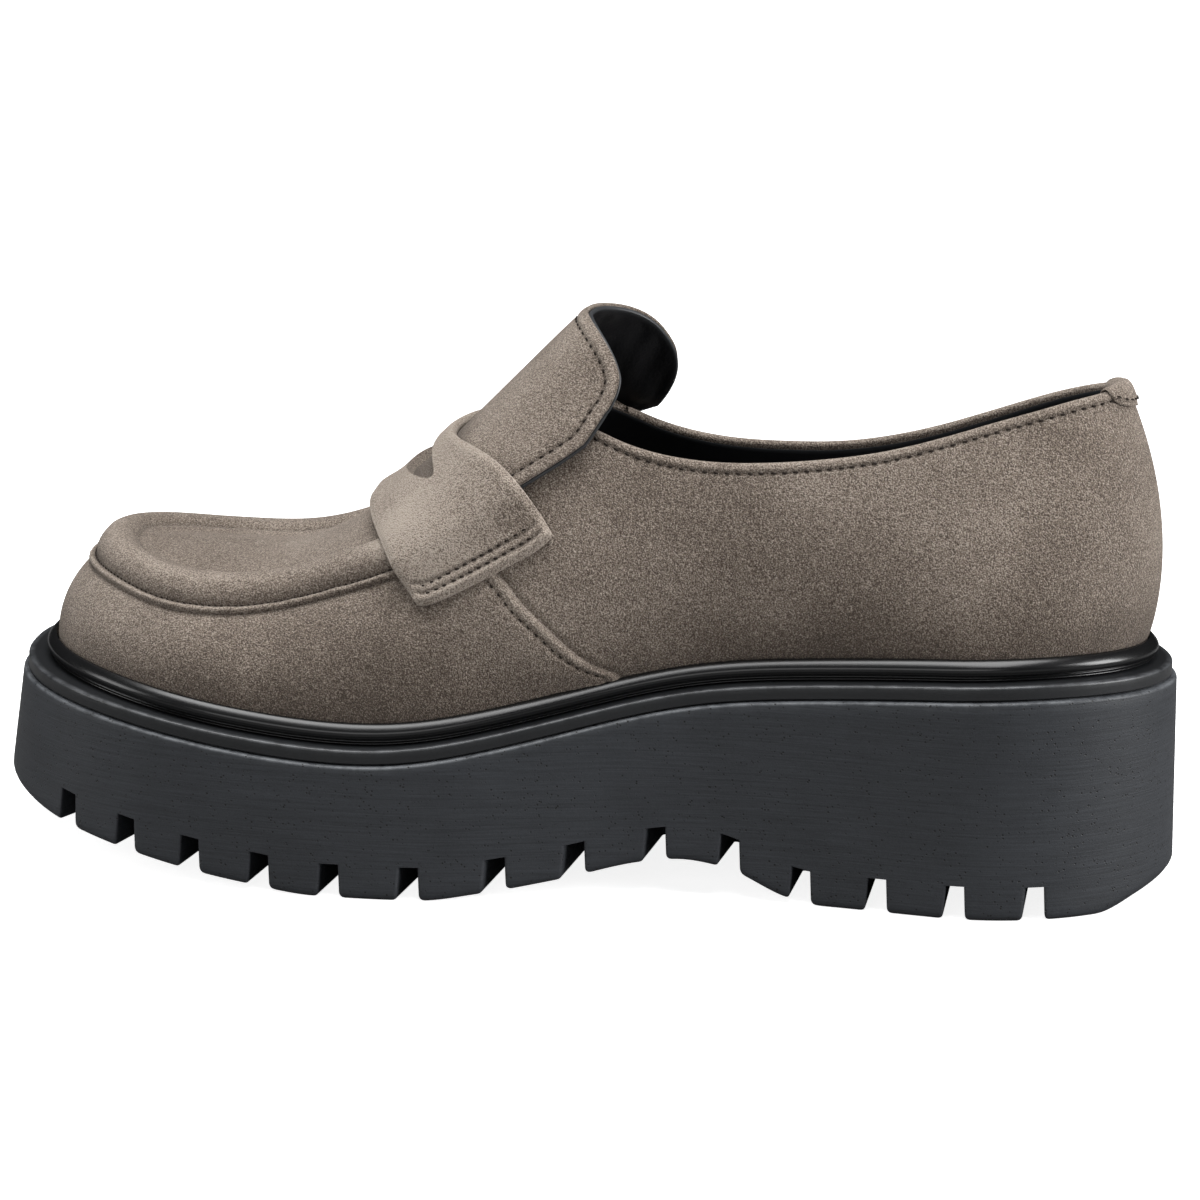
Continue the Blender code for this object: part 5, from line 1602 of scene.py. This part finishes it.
def sewShoe():
    s = upperSet
    # apron
    half = np.linspace(0, math.pi, 3001)
    half = half[footX(half) < -0.0335]
    turns = np.concatenate([2 * math.pi - half[::-1], half[1:]])[::12]
    fineShares, arc = ribRun(turns, 161)
    seam = seamShare(footX(turns))
    share = np.array([np.interp(np.interp(seam[i], fineShares, arc[i]) + s["apronStitchRun"], arc[i], fineShares)
                      for i in range(len(turns))])
    lean = leanColumns(turns % (2 * math.pi), share)
    high = float(follow(s["apron"])(s["apronStitchRun"]))
    path = rib(lean, share) + outward(lean, share) * high
    sewRow(path, outward(lean, share), "apron")
    # vamp's rear edge
    for medial in (True, False):
        k = np.linspace(0.008, 0.40, 90)
        turn = vampTurn(k, np.full(len(k), medial))
        speed = np.linalg.norm(rib(turn + 0.002, k) - rib(turn - 0.002, k), axis=-1) / 0.004
        turn = turn - np.where(medial, 1, -1) * s["vampStitch"] / (speed * 0.70)
        path = rib(turn, k) + outward(turn, k) * 0.0006
        sewRow(path, outward(turn, k), "vamp")
    # collar
    for turns in (np.linspace(0.9, math.pi - 0.12, 260), np.linspace(2 * math.pi - 0.9, math.pi + 0.12, 260)):
        turns = turns[footX(turns) > -0.008]
        end = rimShare(turns)
        fineShares, arc = ribRun(turns, 161)
        share = np.array([np.interp(np.interp(end[i], fineShares, arc[i]) - s["rimStitch"], arc[i], fineShares)
                          for i in range(len(turns))])
        path = rib(turns, share) - outward(turns, share) * 0.00018
        sewRow(path, outward(turns, share), "collar")
    sewTongue()
    sewStrap()
    sewTab()
    points = np.array(stitchPoints)
    addMesh("stitching", points, stitchFaces, thread, None, 60)


def sewTongue():
    s = tongueSet
    around = np.concatenate([np.stack([np.full(60, -1.0), np.linspace(0.2, 1, 60)], 1),
                             np.stack([np.linspace(-1, 1, 200)[1:-1], np.ones(198)], 1),
                             np.stack([np.full(60, 1.0), np.linspace(1, 0.2, 60)], 1)])
    x, share = tonguePlace(around[:, 0], around[:, 1])
    lift = s["gap"] + s["thick"]
    edgeLine = over(x, share, lift + standOff(x, share))
    # inwards from the edge
    ahead = smoothRows(np.gradient(edgeLine, axis=0), 9)
    inside = unit(np.cross(ahead, overNormal(x, share)))
    middle = over(np.array([-0.02]), np.array([0.0]), np.array([lift]))[0]
    if np.dot(inside[30], middle - edgeLine[30]) < 0:
        inside = -inside
    moved = edgeLine + inside * s["stitchIn"]
    # back onto the tongue's own surface
    sx, sy = tonguePlace(np.linspace(-1, 1, 161)[None, :], np.linspace(0.15, 1, 120)[:, None])
    cloud = over(sx, sy, lift + standOff(sx, sy)).reshape(-1, 3)
    normals = overNormal(sx, sy).reshape(-1, 3)
    tree = treeOf(cloud)
    spots, ups = [], []
    for p in moved:
        _, i, _ = tree.find(p)
        n = normals[i]
        spots.append(p - n * np.dot(p - cloud[i], n))
        ups.append(n)
    spots, ups = smoothRows(np.array(spots), 5), np.array(ups)
    sewRow(spots - ups * 0.00026, ups, "tongue")


def smoothRows(rows, size):
    padded = np.pad(rows, ((size // 2, size // 2), (0, 0)), mode="edge")
    return np.stack([np.convolve(padded[:, k], np.ones(size) / size, mode="valid") for k in range(rows.shape[1])], 1)


def sewTab():
    s = tabSet
    spread = np.linspace(-0.93, 0.93, 80)
    turn = math.pi + spread * s["turn"]
    top = rimShare(turn)
    normal, rim = outward(turn, top), rib(turn, top)
    down = unit(rib(turn, top - 0.05) - rim)
    deep = s["endShare"] + (1 - s["endShare"]) * np.sqrt(1 - spread ** 2)
    path = rim + down * (s["deepOut"] * deep - s["stitchIn"])[:, None] + normal * (s["gap"] + s["thick"])
    sewRow(path, normal, "tab")


def sewStrap():
    s = strapSet
    along, end = np.linspace(0.02, 0.98, 120), s["halfShare"]

    def onStrap(share, sink=0.0):
        x, k = strapPlace(np.full(len(along), share), along)
        return over(x, k, strapLift(x, k) + s["thick"] - sink), overNormal(x, k)

    for side in (-1, 1):
        edgeLine = onStrap(side * end)[0]
        for inset in s["endStitch"]:
            share = side * (end - inset / 0.098)
            for _ in range(3):  # closer to the wanted inset each time
                gap = nearPath(onStrap(share)[0], edgeLine, 0.02).mean()
                share = side * (end - (end - abs(share)) * inset / gap)
            line, up = onStrap(share, 0.00038)
            run = runAlong(line)
            keep = (run > 0.0018) & (run < run[-1] - 0.0016)
            sewRow(line[keep], up[keep], "strap")


makeRunner()
makeWelt()
makeInsole()
print("loafer: runner, welt and footbed made")
makeUpper()
makeLiningShell()
print("loafer: upper made")
makeTongue()
makeStrap()
makeTab()
print("loafer: tongue, strap and tab made")
sewShoe()
print("loafer: sewn")

# Floor, light and camera

def makeStage():
    mesh = bpy.data.meshes.new("floor")
    mesh.from_pydata([(-6, -6, 0), (6, -6, 0), (6, 6, 0), (-6, 6, 0)], [], [(0, 1, 2, 3)])
    floor = bpy.data.objects.new("floor", mesh)
    bpy.context.collection.objects.link(floor)
    white, tree, shader = newMaterial("paleFloor", **{"Roughness": 0.9, "Specular IOR Level": 0.0})
    seen = put(tree, "ShaderNodeLightPath", (-600, 0)).outputs["Is Camera Ray"]
    tree.links.new(blendColour(tree, seen, (0.20, 0.20, 0.20, 1.0), (0.85, 0.85, 0.85, 1.0), (-200, 200)),
                   shader.inputs["Base Color"])
    shader.inputs["Emission Color"].default_value = (1.0, 1.0, 1.0, 1.0)
    tree.links.new(sums(tree, "MULTIPLY", seen, 0.86, (-200, -200)), shader.inputs["Emission Strength"])
    mesh.materials.append(white)


def addLight(name, place, target, size, power):
    lamp = bpy.data.lights.new(name, "AREA")
    lamp.shape = "RECTANGLE"
    lamp.size, lamp.size_y = size
    lamp.energy = power
    holder = bpy.data.objects.new(name, lamp)
    holder.location = place
    holder.rotation_euler = (Vector(target) - Vector(place)).to_track_quat("-Z", "Y").to_euler()
    bpy.context.collection.objects.link(holder)


lightSet = {
    "horizon": 0.17, "sky": 0.90,
    # name, place, size, power
    "lamps": [("overhead", (-0.05, -0.10, 1.10), (1.1, 0.7), 17.0),
              ("frontFill", (-0.2, -1.30, 0.50), (1.2, 0.6), 3.6),
              ("heelSide", (1.10, -0.15, 0.45), (0.5, 0.7), 13.0),
              ("toeSide", (-1.15, -0.35, 0.45), (0.5, 0.7), 4.2)],
}


def makeLight():
    world = bpy.data.worlds.new("softRoom")
    bpy.context.scene.world = world
    world.use_nodes = True
    tree = world.node_tree
    background = tree.nodes["Background"]
    seen = put(tree, "ShaderNodeLightPath", (-800, 200)).outputs["Is Camera Ray"]
    split = put(tree, "ShaderNodeSeparateXYZ", (-800, -100))
    tree.links.new(put(tree, "ShaderNodeTexCoord", (-1000, -100)).outputs["Generated"], split.inputs[0])
    high = ranged(tree, split.outputs["Z"], -0.1, 0.9, lightSet["horizon"], lightSet["sky"], (-600, -100))
    strength = put(tree, "ShaderNodeMix", (-300, 0), data_type="FLOAT")
    tree.links.new(seen, strength.inputs[0])
    tree.links.new(high, strength.inputs[2])
    strength.inputs[3].default_value = 1.0
    tree.links.new(strength.outputs[0], background.inputs["Strength"])
    for name, place, size, power in lightSet["lamps"]:
        addLight(name, place, (0.0, 0.0, 0.06), size, power)


def makeCamera():
    turn, lift, roll, away = math.radians(8.0), math.radians(14.5), math.radians(1.413), 1.150
    target = Vector((0.00122 + settle[0], settle[1], 0.0606))
    back = Vector((math.sin(turn) * math.cos(lift), -math.cos(turn) * math.cos(lift), math.sin(lift)))
    right = (-back).cross(Vector((0, 0, 1))).normalized()
    up = right.cross(-back)
    right, up = right * math.cos(roll) + up * math.sin(roll), up * math.cos(roll) - right * math.sin(roll)
    lens = bpy.data.cameras.new("camera")
    lens.lens, lens.sensor_width = 146.22, 36.0
    camera = bpy.data.objects.new("camera", lens)
    place = target + back * away
    camera.matrix_world = Matrix(((right.x, up.x, back.x, place.x), (right.y, up.y, back.y, place.y),
                                  (right.z, up.z, back.z, place.z), (0, 0, 0, 1)))
    bpy.context.collection.objects.link(camera)
    bpy.context.scene.camera = camera


makeStage()
makeLight()
makeCamera()
bpy.context.scene.view_settings.view_transform = "Standard"
print("loafer: stage, light and camera set")
